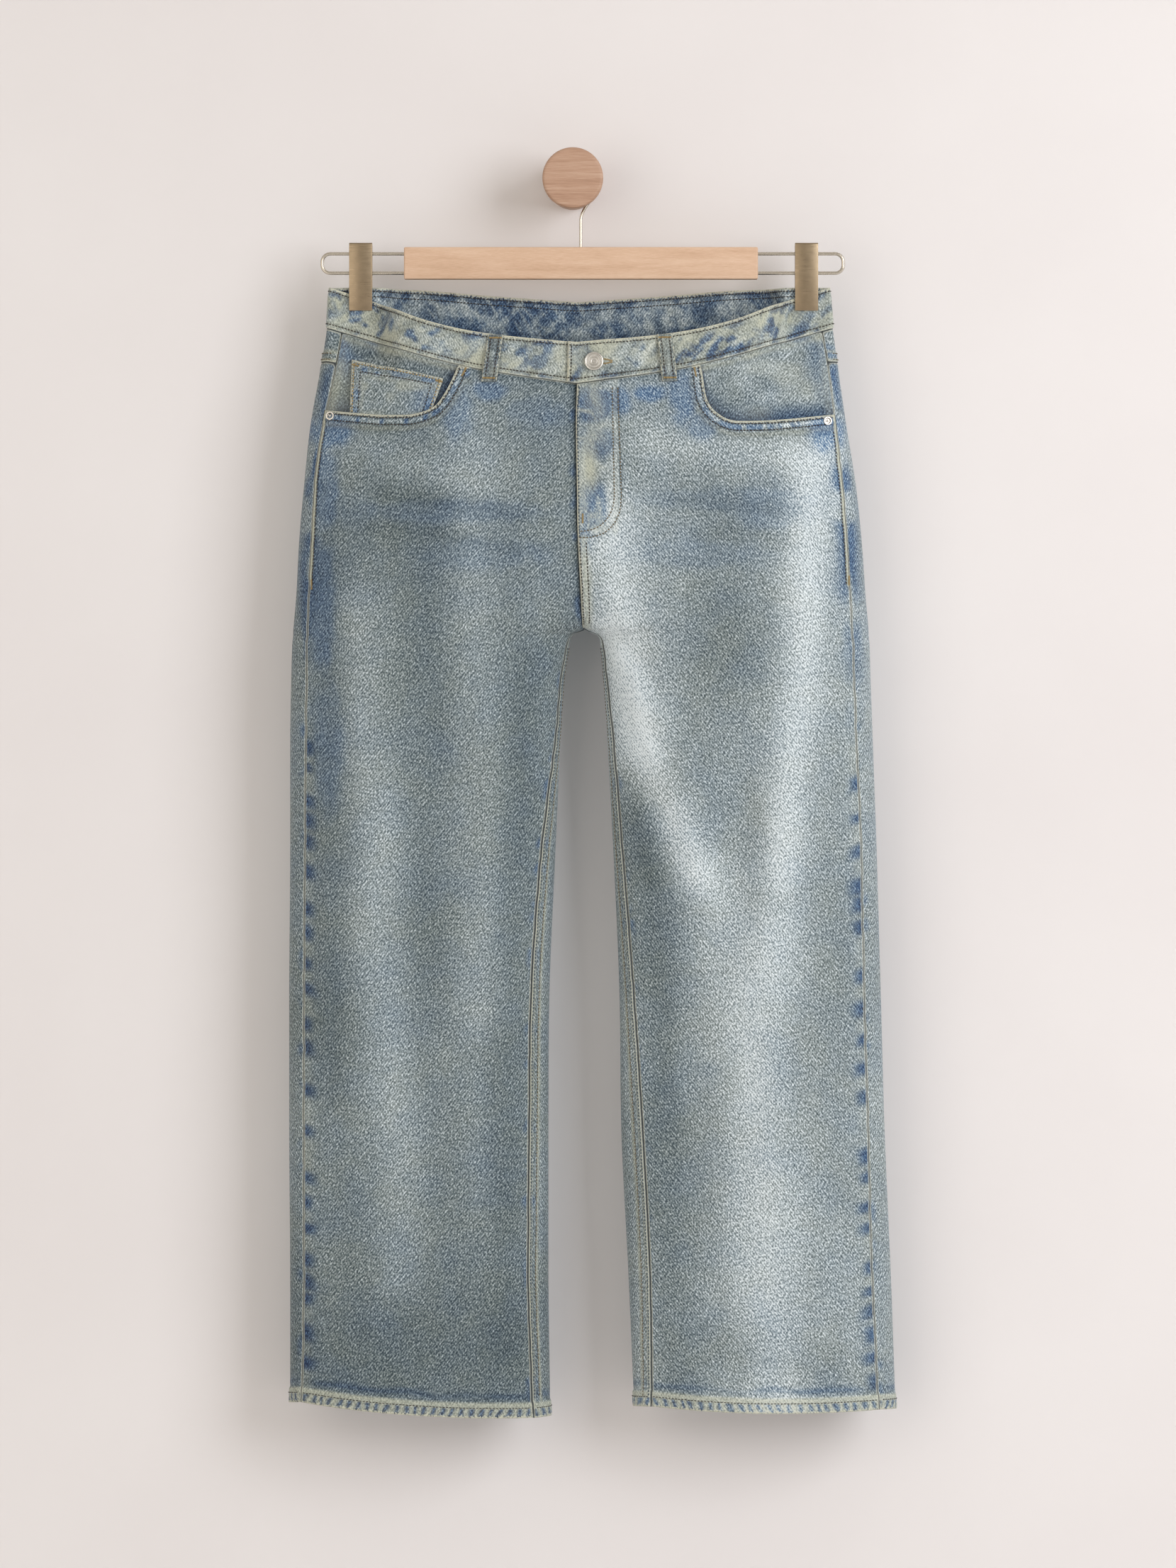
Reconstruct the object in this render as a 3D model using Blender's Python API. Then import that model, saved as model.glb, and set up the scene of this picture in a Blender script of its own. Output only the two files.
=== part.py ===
"""Baggy five-pocket jeans on a wooden clip hanger, hung on a round wall peg.

Metres in the mesh, millimetres in the tables. The origin is the centre of the peg's back face, on the wall plane
y = 0. +Z is up, the front of the jeans faces -Y, and +X is to the viewer's right. "Left" and "right" are the viewer's.
"""

from functools import lru_cache
from math import acos, cos, exp, pi, radians, sin

import bmesh
import bpy
from mathutils import Vector

MM = 0.001
LEFT, RIGHT = -1, 1

# ---------------------------------------------------------------- driving sizes, mm

HANG_Y = -62.0  # the plane of the hanger, midway between the front and the back of the jeans
SEAM_GAP = 0.3  # between pieces that are sewn together
CLOTH = 1.5  # denim, with its felled edges
BAND_IN, BAND_OUT = -1.4, 1.0  # the waistband is two layers, measured from the panels' outer face
SQUARENESS = 2.4  # exponent of the oval sections, 2 is an ellipse
CROTCH_Z = -446.0
SPLIT_HEIGHT = 260.0  # above the crotch, over which one torso section parts into two leg sections

# One row for each height: the outline, the seams and the depth of one half, mm.
#   z: height        reach: outer outline     seam: outseam        inner: inner outline below the crotch
#   inseam: inner leg seam                     front, back: depth of the section before and behind HANG_Y
ROW_COLUMNS = ("z", "reach", "seam", "inner", "inseam", "front", "back")
LEFT_ROWS = [
    (-105, -240, -227, 0, 0, 45, 33),
    (-149, -243, -228, 0, 0, 48, 35),
    (-187, -249, -234, 0, 0, 51, 38),
    (-243, -259, -246, 0, 0, 55, 42),
    (-299, -265, -254, 0, 0, 57, 45),
    (-355, -270, -257, 0, 0, 58, 46),
    (-411, -273, -260, 0, 0, 57, 46),
    (-446, -276, -261, 5, 3, 56, 45),
    (-450, -276, -261, -1, -2, 56, 45),
    (-460, -277, -262, -4, -6, 55, 45),
    (-495, -278, -262, -9, -12, 54, 44),
    (-551, -279, -263, -12, -17, 52, 43),
    (-663, -279, -264, -17, -31, 49, 41),
    (-803, -280, -265, -23, -41, 46, 39),
    (-943, -280, -265, -24, -43, 45, 38),
    (-1083, -279, -265, -24, -44, 46, 39),
    (-1225, -279, -267, -22, -39, 48, 41),
]
RIGHT_ROWS = [
    (-105, 253, 240, 0, 0, 45, 33),
    (-149, 257, 246, 0, 0, 48, 35),
    (-187, 262, 252, 0, 0, 51, 38),
    (-243, 270, 259, 0, 0, 55, 42),
    (-299, 279, 265, 0, 0, 57, 45),
    (-355, 285, 270, 0, 0, 58, 46),
    (-411, 289, 273, 0, 0, 57, 46),
    (-446, 292, 275, 15, 17, 56, 45),
    (-450, 292, 275, 25, 26, 56, 45),
    (-460, 293, 276, 28, 30, 55, 45),
    (-495, 294, 277, 31, 34, 54, 44),
    (-551, 296, 279, 34, 40, 52, 43),
    (-663, 300, 284, 40, 49, 49, 41),
    (-803, 304, 287, 46, 60, 46, 39),
    (-943, 308, 291, 48, 69, 45, 38),
    (-1083, 314, 295, 55, 76, 46, 39),
    (-1225, 319, 302, 61, 78, 48, 41),
]
CENTRE_COLUMNS = ("z", "centre")  # the centre-front and centre-back seam
CENTRE_ROWS = [(-105, 5), (-205, 4), (-243, 3), (-299, 4), (-355, 5), (-411, 8), (-446, 10)]

# The waistband, by share of the half width out from the centre: its top and lower edge in front, its top behind.
BAND_COLUMNS = ("share", "front_top", "front_low", "back_top")
BAND_ROWS = [
    (0.00, -164, -204.5, -119),
    (0.38, -154, -190, -112.5),
    (0.61, -141, -176, -108),
    (0.82, -121, -160, -107),
    (1.00, -107, -147, -107),
]
BAND_HEIGHT = 40.0
BAND_MIDDLE_Z, BAND_SIDE_Z = -184.0, -150.0  # a height on the waistband at its centre front and at its sides
BAND_OVER_END, BAND_UNDER_END = -5.0, 30.0  # where the two ends of the waistband stop, x
BAND_LIFT = 2.8  # the upper end stands this much proud of the lower one
BAND_LIFT_RUN = 26.0  # and rises over this length before the lap

# The clips press front and back together here.
CLIP_X = {LEFT: -209.3, RIGHT: 230.7}
PINCH_FLAT, PINCH_SLOPE = 18.0, 14.0  # flat this far either side of a clip's middle, then opening over this width
PINCH_DEPTH = 2.0  # what is left of the section's half depth under a clip
PINCH_TOP, PINCH_FADE = -135.0, 75.0  # full above PINCH_TOP, and gone with this much height below it

# Largest folds of the front and the back: a ridge (rise > 0) or trough along a line through three points.
FOLD_COLUMNS = ("side", "face", "z_top", "z_mid", "z_low", "x_top", "x_mid", "x_low", "rise", "half_width")
FOLD_ROWS = [
    (LEFT, "front", -340, -640, -1010, -200, -206, -212, 5, 30),
    (LEFT, "front", -470, -640, -860, -84, -78, -84, 4, 22),
    (LEFT, "front", -420, -720, -1100, -140, -142, -150, -6, 30),
    (LEFT, "front", -700, -980, -1225, -70, -62, -58, 4, 16),
    (RIGHT, "front", -500, -800, -1150, 222, 192, 206, 8, 30),
    (RIGHT, "front", -455, -620, -800, 46, 108, 160, 6, 24),
    (RIGHT, "front", -520, -650, -790, 172, 160, 140, -8, 26),
    (RIGHT, "front", -760, -980, -1225, 105, 118, 128, -6, 34),
    (LEFT, "back", -480, -760, -1120, -190, -200, -190, -6, 34),
    (LEFT, "back", -460, -700, -980, -95, -110, -120, 5, 28),
    (RIGHT, "back", -480, -740, -1080, 200, 215, 225, -6, 34),
    (RIGHT, "back", -470, -720, -1000, 95, 120, 130, 5, 30),
]

# Front pocket openings: the edge of the front panel, x and z from the outseam to the waistband.
SCOOP_COLUMNS = ("x", "z")
SCOOP_ROWS = {
    LEFT: [(-248, -229), (-187, -235), (-160, -235), (-136, -227), (-125, -213), (-113, -188), (-106, -165)],
    RIGHT: [(262, -233), (197, -240), (161, -241), (144, -235), (131, -219), (127, -194), (122, -165)],
}
FACING_UNDERLAP = 9.0  # how far a facing runs on behind the edge of the front panel
FACING_SHARE = 0.7  # of the half width, where a facing's middle meets the waistband

# Four corners of the coin pocket, from its top outer corner round to its bottom outer one.
COIN_CORNERS = [(-218, -178), (-127, -199), (-143, -243), (-220, -243)]

YOKE_SIDE_Z, YOKE_CENTRE_Z = -181.0, -232.0
YOKE_SIDE_X = 245.0  # half width at which the yoke seam has its side height

BACK_POCKET = {"from_centre": 36.0, "top_width": 150.0, "low_width": 128.0, "top_z": -258.0, "low_z": -402.0,
               "point": 16.0, "tilt": 6.0}
HEM_Z = {LEFT: (-1205.0, -1220.0), RIGHT: (-1212.0, -1209.0)}  # at the outer and the inner edge of each leg
HEM_SAG = 4.0  # the middle of a hem hangs lower than its ends

# Belt loops: where they stand, x at the top and at the bottom, mm.
LOOP_COLUMNS = ("name", "face", "x_top", "x_low")
LOOP_ROWS = [
    ("loop_front_left", "front", -75.5, -82),
    ("loop_front_right", "front", 90, 95),
    ("loop_side_left", "back", -172, -174),
    ("loop_side_right", "back", 184, 186),
    ("loop_back", "back", 5, 5),
]
LOOP = {"width": 15.0, "above": 1.0, "below": 11.0, "thick": 2.0, "stand": 1.8, "arch": 1.5}

BUTTON = {"x": 21.0, "z": -183.5, "radius": 9.3, "shank": 4.5, "rise": 1.6, "thick": 2.4, "rim": 0.8}
RIVET = {"radius": 4.1, "thick": 1.6, "dome": 1.1}
RIVET_PLACES = {LEFT: (-238, -235), RIGHT: (250, -240)}

BAR = {"x": (-166.6, 182.7), "z": (-99.0, -67.2), "thick": 12.0, "edge": 2.0}
WIRE = {"radius": 1.75, "top_z": -73.6, "low_z": -92.7, "left_x": -247.4, "right_x": 267.0, "bend": 8.0}
CLIP = {"width": 22.8, "top_z": -63.0, "low_z": -130.0, "half_gap": 4.2, "metal": 1.2, "bend": 1.5}
HOOK = {"radius": 1.5, "stem_x": 7.8, "bend_z": -40.0, "loop": 27.0, "enter": -42.0, "leave": 205.0, "steps": 26,
        "corner": (8.4, -31.0)}
PEG = {"face": 30.0, "neck": 25.2, "face_y": -84.0, "back_y": -68.0, "edge": 2.5, "sides": 40}

# ---------------------------------------------------------------- reading the tables


def smooth_through(rows, column, at):
    """A cubic through one column of a table, whose first column orders it, without overshoot past its neighbours."""
    if rows[0][0] > rows[-1][0]:
        rows = rows[::-1]
    at = min(max(at, rows[0][0]), rows[-1][0])
    index = max(i for i in range(len(rows) - 1) if rows[i][0] <= at)
    before, here = rows[max(index - 1, 0)], rows[index]
    after, beyond = rows[index + 1], rows[min(index + 2, len(rows) - 1)]
    span = after[0] - here[0]
    share = (at - here[0]) / span
    step = after[column] - here[column]
    slopes = []
    for low, high in ((before, after), (here, beyond)):
        slope = (high[column] - low[column]) / (high[0] - low[0]) * span
        limit = 3 * abs(step)
        slopes.append(min(max(slope, -limit), limit) if slope * step > 0 else 0.0)
    square, cube = share**2, share**3
    return ((2 * cube - 3 * square + 1) * here[column] + (cube - 2 * square + share) * slopes[0]
            + (3 * square - 2 * cube) * after[column] + (cube - square) * slopes[1])


def ease(share):
    """0 to 1 with level ends."""
    share = min(max(share, 0.0), 1.0)
    return share * share * (3 - 2 * share)


@lru_cache(maxsize=None)
def centre_x(z):
    return smooth_through(CENTRE_ROWS, CENTRE_COLUMNS.index("centre"), z)


@lru_cache(maxsize=None)
def half_row(side, z):
    """The named sizes of one half of the jeans at a height."""
    rows = LEFT_ROWS if side == LEFT else RIGHT_ROWS
    return {name: smooth_through(rows, ROW_COLUMNS.index(name), z) for name in ROW_COLUMNS[1:]}


def band_height(share, face, edge):
    """Height of an edge of the waistband, at a share of the half width, on the front or the back."""
    share = min(abs(share), 1.0)
    if face == "front":
        return smooth_through(BAND_ROWS, BAND_COLUMNS.index("front_" + edge), share)
    top = smooth_through(BAND_ROWS, BAND_COLUMNS.index("back_top"), share)
    return top if edge == "top" else top - BAND_HEIGHT


# ---------------------------------------------------------------- the form of the jeans


@lru_cache(maxsize=None)
def oval(side, z):
    """Centre, half width and depths of a half's section. Above the crotch it is cut off at the centre seam."""
    row = half_row(side, z)
    if z > CROTCH_Z:
        centre = centre_x(z)
        whole = abs(row["reach"] - centre)
        part = min((z - CROTCH_Z) / SPLIT_HEIGHT, 1.0)
        split = 0.5 * (1 - part) ** 2
        middle, half = centre + side * split * whole, (1 - split) * whole
    else:
        middle = (row["reach"] + row["inner"]) / 2
        half = abs(row["reach"] - row["inner"]) / 2
    return middle, half, row


def angle_at(side, z, x, face):
    """The angle round a section, from its outer end, at which it passes x on the front (positive) or the back."""
    middle, half, _ = oval(side, z)
    share = side * (x - middle) / half
    share = min(max(share, -1.0), 1.0)
    turn = acos((1 if share >= 0 else -1) * abs(share) ** (SQUARENESS / 2))
    return turn if face == "front" else -turn


def seam_angles(side, z):
    """Angles of the outseam, of the front panel's inner edge and of the back panel's inner edge."""
    _, _, row = oval(side, z)
    outseam = angle_at(side, z, row["seam"], "front")
    if z > CROTCH_Z:
        centre = centre_x(z)
        return outseam, angle_at(side, z, centre, "front"), angle_at(side, z, centre, "back")
    inseam = angle_at(side, z, row["inseam"], "front")
    return outseam, inseam, inseam - 2 * pi


def pinch(side, x, z):
    """How much a clip closes the section, 0 to 1."""
    past = max(abs(x - CLIP_X[side]) - PINCH_FLAT, 0.0) / PINCH_SLOPE
    near = exp(-past * past)
    return near * (1 - ease((PINCH_TOP - z) / PINCH_FADE))


def fold_rise(side, face, x, z):
    """Sum of the folds that pass a point, mm outwards."""
    total = 0.0
    for row in FOLD_ROWS:
        fold = dict(zip(FOLD_COLUMNS, row))
        if fold["side"] != side or fold["face"] != face or not fold["z_low"] < z < fold["z_top"]:
            continue
        line = [(fold["z_low"], fold["x_low"]), (fold["z_mid"], fold["x_mid"]), (fold["z_top"], fold["x_top"])]
        away = (x - smooth_through(line, 1, z)) / fold["half_width"]
        length = (fold["z_top"] - z) / (fold["z_top"] - fold["z_low"])
        total += fold["rise"] * exp(-away * away) * ease(min(length, 1 - length) * 4)
    return total


def skin(side, z, angle):
    """The point of the outer face at a height and an angle round the section, mm."""
    middle, half, row = oval(side, z)
    across, along = cos(angle), sin(angle)
    power = 2 / SQUARENESS
    x = middle + side * half * (1 if across >= 0 else -1) * abs(across) ** power
    face = "front" if along >= 0 else "back"
    depth = row[face] * abs(along) ** power
    closed = pinch(side, x, z)
    depth = depth * (1 - closed) + min(depth, PINCH_DEPTH) * closed
    depth += fold_rise(side, face, x, z) * min(abs(along) * 1.5, 1.0)
    return Vector((x, HANG_Y - depth if face == "front" else HANG_Y + depth, z))


def proud(side, z, angle, offset):
    """The point that stands off the outer face along its normal, mm outwards."""
    turn, rise = 0.02, 1.0
    along = skin(side, z, angle + turn) - skin(side, z, angle - turn)
    up = skin(side, z + rise, angle) - skin(side, z - rise, angle)
    normal = up.cross(along).normalized() * side
    return skin(side, z, angle) + normal * offset


def front_point(side, x, z, offset):
    return proud(side, z, angle_at(side, z, x, "front"), offset)


def back_point(side, x, z, offset):
    return proud(side, z, angle_at(side, z, x, "back"), offset)


def between_angles(side, z, start, end, share):
    """The angle that lies at a share of the arc length from start to end round a section."""
    steps = 32
    angles = [start + (end - start) * i / steps for i in range(steps + 1)]
    points = [skin(side, z, angle) for angle in angles]
    lengths = [0.0]
    for before, after in zip(points, points[1:]):
        lengths.append(lengths[-1] + (after - before).length)
    wanted = share * lengths[-1]
    index = max(i for i in range(steps) if lengths[i] <= wanted + 1e-9)
    part = (wanted - lengths[index]) / (lengths[index + 1] - lengths[index])
    return angles[index] + (angles[index + 1] - angles[index]) * part


# ---------------------------------------------------------------- making solids


def clear_scene():
    for old in list(bpy.data.objects):
        bpy.data.objects.remove(old)


def make_material(name, colour, roughness, metallic=0.0):
    material = bpy.data.materials.new(name)
    material.use_nodes = True
    shader = material.node_tree.nodes["Principled BSDF"]
    shader.inputs["Base Color"].default_value = (*colour, 1.0)
    shader.inputs["Roughness"].default_value = roughness
    shader.inputs["Metallic"].default_value = metallic
    return material


def add_mesh(name, mesh_data, material):
    mesh = bpy.data.meshes.new(name)
    mesh_data.to_mesh(mesh)
    mesh_data.free()
    mesh.materials.append(material)
    body = bpy.data.objects.new(name, mesh)
    bpy.context.scene.collection.objects.link(body)
    return body


def face_outwards(closed):
    """Turns the faces of a closed body outwards."""
    bmesh.ops.recalc_face_normals(closed, faces=closed.faces)
    if closed.calc_volume(signed=True) < 0:
        bmesh.ops.reverse_faces(closed, faces=closed.faces)


def cloth_piece(name, columns, rows, place, material):
    """A closed wall: a flat grid of columns x rows with a second layer, each point then put by
    place(column, row, layer), where layer 0 is the outer face and 1 the inner one."""
    grid = bmesh.new()
    bmesh.ops.create_grid(grid, x_segments=columns, y_segments=rows, size=0.5)
    layer = bmesh.ops.extrude_face_region(grid, geom=list(grid.faces), use_keep_orig=True)
    moved = [item for item in layer["geom"] if isinstance(item, bmesh.types.BMVert)]
    bmesh.ops.translate(grid, verts=moved, vec=(0, 0, 1))
    for vertex in grid.verts:
        column = round((vertex.co.x + 0.5) * columns)
        row = round((vertex.co.y + 0.5) * rows)
        vertex.co = place(column, row, round(vertex.co.z)) * MM
    face_outwards(grid)
    return add_mesh(name, grid, material)


# ---------------------------------------------------------------- panels

LEG_ROWS_Z = [-1120, -1030, -940, -850, -765, -685, -610, -545, -495, -465, -452, -446, -440, -428, -405, -375,
              -340, -300, -264]  # from the hem up to where the rows start to follow the top edge
TOP_ROWS = 3
PANEL_WIDTH = 270.0
FRONT_COLUMNS = 13
BACK_COLUMNS = 14


def hem_height(side, share):
    outer, inner = HEM_Z[side]
    return outer + (inner - outer) * share - HEM_SAG * sin(pi * share)


def row_height(side, x_share, row, top):
    """Height of a row of a panel: the hem, the even rows of the leg, then rows spread up to the top edge."""
    if row == 0:
        return hem_height(side, x_share)
    if row <= len(LEG_ROWS_Z):
        return LEG_ROWS_Z[row - 1]
    last = LEG_ROWS_Z[-1]
    return last + (top - last) * (row - len(LEG_ROWS_Z)) / TOP_ROWS


def inset(share):
    """Moves the ends of a share of a panel's width inwards by half a seam gap."""
    edge = SEAM_GAP / 2 / PANEL_WIDTH
    return edge + share * (1 - 2 * edge)


def width_share(side, x, z):
    """How far x is from the centre, as a share of the half width."""
    centre = centre_x(z)
    return abs(x - centre) / abs(half_row(side, z)["reach"] - centre)


def scoop_height(side, x):
    rows = SCOOP_ROWS[side]
    return smooth_through(rows, SCOOP_COLUMNS.index("z"), x)


def front_top(side, x, z, face):
    """The upper edge of a front panel: the waistband seam, or the pocket scoop where it is lower."""
    seam = band_height(width_share(side, x, z), "front", "low") - SEAM_GAP
    mouth = SCOOP_ROWS[side][-1][0]
    if side * (x - mouth) > 0:
        return min(seam, scoop_height(side, x))
    return seam


def yoke_top(side, x, z, face):
    return band_height(width_share(side, x, z), face, "low") - SEAM_GAP


def yoke_seam(side, x, z, face):
    away = min(abs(x - centre_x(YOKE_CENTRE_Z)) / YOKE_SIDE_X, 1.0)
    return YOKE_CENTRE_Z + (YOKE_SIDE_Z - YOKE_CENTRE_Z) * away


def back_top(side, x, z, face):
    return yoke_seam(side, x, z, face) - SEAM_GAP


def edge_heights(edge, side, angle_of, columns, start):
    """The height at which each slanting column of a panel meets an edge, whose height depends on x."""
    heights = []
    for column in range(columns + 1):
        z = start
        for _ in range(12):
            angle = angle_of(side, z, column / columns)
            z = (z + edge(side, skin(side, z, angle).x, z, "front" if sin(angle) >= 0 else "back")) / 2
        heights.append(z)
    return heights


def front_angle(side, z, share):
    start, end, _ = seam_angles(side, z)
    return between_angles(side, z, start, end, inset(share))


def back_angle(side, z, share):
    start, _, end = seam_angles(side, z)
    return between_angles(side, z, start, end, inset(share))


def leg_panel(name, side, angle_of, columns, top_edge, material):
    """A front or back panel, from the hem to its top edge."""
    tops = edge_heights(top_edge, side, angle_of, columns, -205.0)

    def place(column, row, layer):
        share = column / columns
        z = row_height(side, share, row, tops[column])
        return proud(side, z, angle_of(side, z, share), -CLOTH * layer)

    return cloth_piece(name, columns, len(LEG_ROWS_Z) + TOP_ROWS, place, material)


def yoke(name, side, material):
    rows = 3
    lows = edge_heights(yoke_seam, side, back_angle, BACK_COLUMNS, -205.0)
    tops = edge_heights(yoke_top, side, back_angle, BACK_COLUMNS, -150.0)

    def place(column, row, layer):
        z = lows[column] + (tops[column] - lows[column]) * row / rows
        return proud(side, z, back_angle(side, z, column / BACK_COLUMNS), -CLOTH * layer)

    return cloth_piece(name, BACK_COLUMNS, rows, place, material)


def pocket_facing(name, side, material):
    """Lies behind the front panel and fills the pocket opening."""
    columns, rows = 9, 4
    mouth = SCOOP_ROWS[side][-1][0]
    near, far = -4.8, -6.0

    def place(column, row, layer):
        share = column / columns
        top_z = band_height(FACING_SHARE, "front", "low")
        outer = half_row(side, top_z)["seam"]
        x = outer + (mouth - side * FACING_UNDERLAP - outer) * share
        top = band_height(width_share(side, x, top_z), "front", "low") - SEAM_GAP
        low = scoop_height(side, x) - FACING_UNDERLAP if side * (x - mouth) > 0 else top - 2 * FACING_UNDERLAP
        low = min(low, top - 2 * FACING_UNDERLAP)
        z = low + (top - low) * row / rows
        seam = half_row(side, z)["seam"] - side * 1.5
        x = seam + (x - outer) * (mouth - side * FACING_UNDERLAP - seam) / (mouth - side * FACING_UNDERLAP - outer)
        return front_point(side, x, z, far if layer else near)

    return cloth_piece(name, columns, rows, place, material)


def coin_pocket(material):
    columns, rows = 5, 3
    near, far = -1.8, -3.0

    def place(column, row, layer):
        across, down = column / columns, 1 - row / rows
        (top_outer, top_inner, low_inner, low_outer) = [Vector((x, 0, z)) for x, z in COIN_CORNERS]
        at = top_outer.lerp(top_inner, across).lerp(low_outer.lerp(low_inner, across), down)
        return front_point(LEFT, at.x, at.z, far if layer else near)

    return cloth_piece("coin_pocket", columns, rows, place, material)


def back_pocket(name, side, material):
    columns, rows = 6, 5
    size = BACK_POCKET
    near, far = 0.3, 1.8

    def place(column, row, layer):
        across, up = column / columns, row / rows
        width = size["low_width"] + (size["top_width"] - size["low_width"]) * up
        middle = size["from_centre"] + size["top_width"] / 2
        low = size["low_z"] - size["point"] * (1 - abs(2 * across - 1)) * (1 - up)
        x = centre_x(size["top_z"]) + side * (middle + width * (across - 0.5))
        z = low + (size["top_z"] - size["low_z"]) * up + size["tilt"] * (across - 0.5)
        return back_point(side, x, z, near if layer else far)

    return cloth_piece(name, columns, rows, place, material)


# ---------------------------------------------------------------- waistband and loops


def ring_place(turn):
    """Side and section angle at a turn round the waist: 0 at the left end, 90 degrees at the centre front,
    180 at the right end and 270 at the centre back."""
    turn %= 2 * pi
    if turn < pi / 2:
        return LEFT, turn
    if turn < 3 * pi / 2:
        return RIGHT, pi - turn
    return LEFT, turn - 2 * pi


def ring_turn(x, z):
    """The turn at which the front of the waist passes x."""
    side = LEFT if x < centre_x(z) else RIGHT
    angle = angle_at(side, z, x, "front")
    return angle if side == LEFT else pi - angle


def ring_edges(turn):
    side, angle = ring_place(turn)
    share = abs(cos(angle)) ** (2 / SQUARENESS)
    face = "front" if sin(angle) >= 0 else "back"
    return band_height(share, face, "top"), band_height(share, face, "low")


def ring_point(turn, z, offset):
    side, angle = ring_place(turn)
    return proud(side, z, angle, offset)


def waistband(material):
    """One strip from the lower end, right of the centre front, round by the left end and the back to the upper end,
    which laps over the lower one."""
    columns, rows = 64, 2
    start = ring_turn(BAND_UNDER_END, BAND_MIDDLE_Z)
    end = ring_turn(BAND_OVER_END, BAND_MIDDLE_Z) - 2 * pi
    samples = 480
    turns = [start + (end - start) * i / samples for i in range(samples + 1)]
    lengths = [0.0]
    for before, after in zip(turns, turns[1:]):
        step = ring_point(after, BAND_SIDE_Z, 0) - ring_point(before, BAND_SIDE_Z, 0)
        lengths.append(lengths[-1] + step.length)
    stations = []
    for column in range(columns + 1):
        wanted = lengths[-1] * column / columns
        stations.append(turns[max(i for i in range(samples + 1) if lengths[i] <= wanted + 1e-6)])
    lap_start = ring_turn(BAND_UNDER_END + BAND_LIFT_RUN, BAND_MIDDLE_Z) - 2 * pi
    lap_full = ring_turn(BAND_UNDER_END, BAND_MIDDLE_Z) - 2 * pi

    def place(column, row, layer):
        turn = stations[column]
        top, low = ring_edges(turn)
        z = low + (top - low) * row / rows
        lift = BAND_LIFT * ease((lap_start - turn) / (lap_start - lap_full))
        return ring_point(turn, z, (BAND_IN if layer else BAND_OUT) + lift)

    return cloth_piece("waistband", columns, rows, place, material)


def belt_loop(name, face, x_top, x_low, material):
    columns, rows = 2, 6
    size = LOOP
    middle_x = (x_top + x_low) / 2
    side = LEFT if middle_x < centre_x(BAND_SIDE_Z) else RIGHT
    share = width_share(side, middle_x, BAND_SIDE_Z)
    top = band_height(share, face, "top") - size["above"]
    low = band_height(share, face, "low") - size["below"]

    def place(column, row, layer):
        up = row / rows
        x = x_low + (x_top - x_low) * up + size["width"] * (column / columns - 0.5)
        z = low + (top - low) * up
        half = LEFT if x < centre_x(z) else RIGHT
        point = front_point if face == "front" else back_point
        offset = size["stand"] + size["arch"] * sin(pi * up) + (0 if layer else size["thick"])
        return point(half, x, z, offset)

    return cloth_piece(name, columns, rows, place, material)


# ---------------------------------------------------------------- metal and wood


def turned(name, profile, sides, material):
    """A solid of revolution about -Y: profile rows are (distance along -Y, radius), from back to front."""
    spun = bmesh.new()
    ring = [spun.verts.new((radius, -along, 0)) for along, radius in profile]
    edges = [spun.edges.new(pair) for pair in zip(ring, ring[1:])]
    bmesh.ops.spin(spun, geom=ring + edges, cent=(0, 0, 0), axis=(0, 1, 0), angle=2 * pi, steps=sides,
                   use_merge=True)
    bmesh.ops.remove_doubles(spun, verts=spun.verts, dist=1e-7)
    face_outwards(spun)
    return add_mesh(name, spun, material)


def on_front(body, side, x, z, offset):
    """Stands a turned piece on the front of the jeans, its back face at an offset."""
    seat = front_point(side, x, z, offset)
    normal = (front_point(side, x, z, offset + 5) - seat).normalized()
    body.rotation_euler = Vector((0, -1, 0)).rotation_difference(normal).to_euler()
    body.location = seat * MM


def button(material):
    size = BUTTON
    radius, shank, rise, thick = (size[key] * MM for key in ("radius", "shank", "rise", "thick"))
    rim = size["rim"] * MM
    profile = [(0, 0), (0, shank), (rise, shank), (rise, radius - rim), (rise + rim, radius),
               (rise + thick - rim, radius), (rise + thick, radius - rim), (rise + thick, radius - 2 * rim),
               (rise + thick - 0.5 * rim, radius - 3 * rim), (rise + thick - 0.5 * rim, 0)]
    body = turned("button", profile, 28, material)
    on_front(body, RIGHT, size["x"], size["z"], BAND_OUT + BAND_LIFT + SEAM_GAP)


def rivet(name, side, material):
    size = RIVET
    radius, thick, dome = (size[key] * MM for key in ("radius", "thick", "dome"))
    profile = [(0, 0), (0, radius), (thick * 0.5, radius), (thick, radius * 0.8), (thick, dome), (thick + 0.4 * MM, 0)]
    body = turned(name, profile, 16, material)
    x, z = RIVET_PLACES[side]
    on_front(body, side, x, z, SEAM_GAP)


def bar(material):
    size = BAR
    block = bmesh.new()
    bmesh.ops.create_cube(block, size=1)
    wide, high = size["x"][1] - size["x"][0], size["z"][1] - size["z"][0]
    middle = Vector((sum(size["x"]) / 2, HANG_Y, sum(size["z"]) / 2))
    bmesh.ops.scale(block, vec=Vector((wide, size["thick"], high)) * MM, verts=block.verts)
    bmesh.ops.translate(block, vec=middle * MM, verts=block.verts)
    bmesh.ops.bevel(block, geom=list(block.edges), offset=size["edge"] * MM, segments=2, profile=0.5,
                    affect="EDGES", material=-1)
    add_mesh("hanger_bar", block, material)


def wire(name, points, radius, material):
    """A round wire along points, mm."""
    path = bpy.data.curves.new(name, "CURVE")
    path.dimensions = "3D"
    path.bevel_depth = radius * MM
    path.bevel_resolution = 2
    path.use_fill_caps = True
    run = path.splines.new("POLY")
    run.points.add(len(points) - 1)
    for knot, point in zip(run.points, points):
        knot.co = (*(Vector(point) * MM), 1.0)
    path.materials.append(material)
    body = bpy.data.objects.new(name, path)
    bpy.context.scene.collection.objects.link(body)


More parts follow.
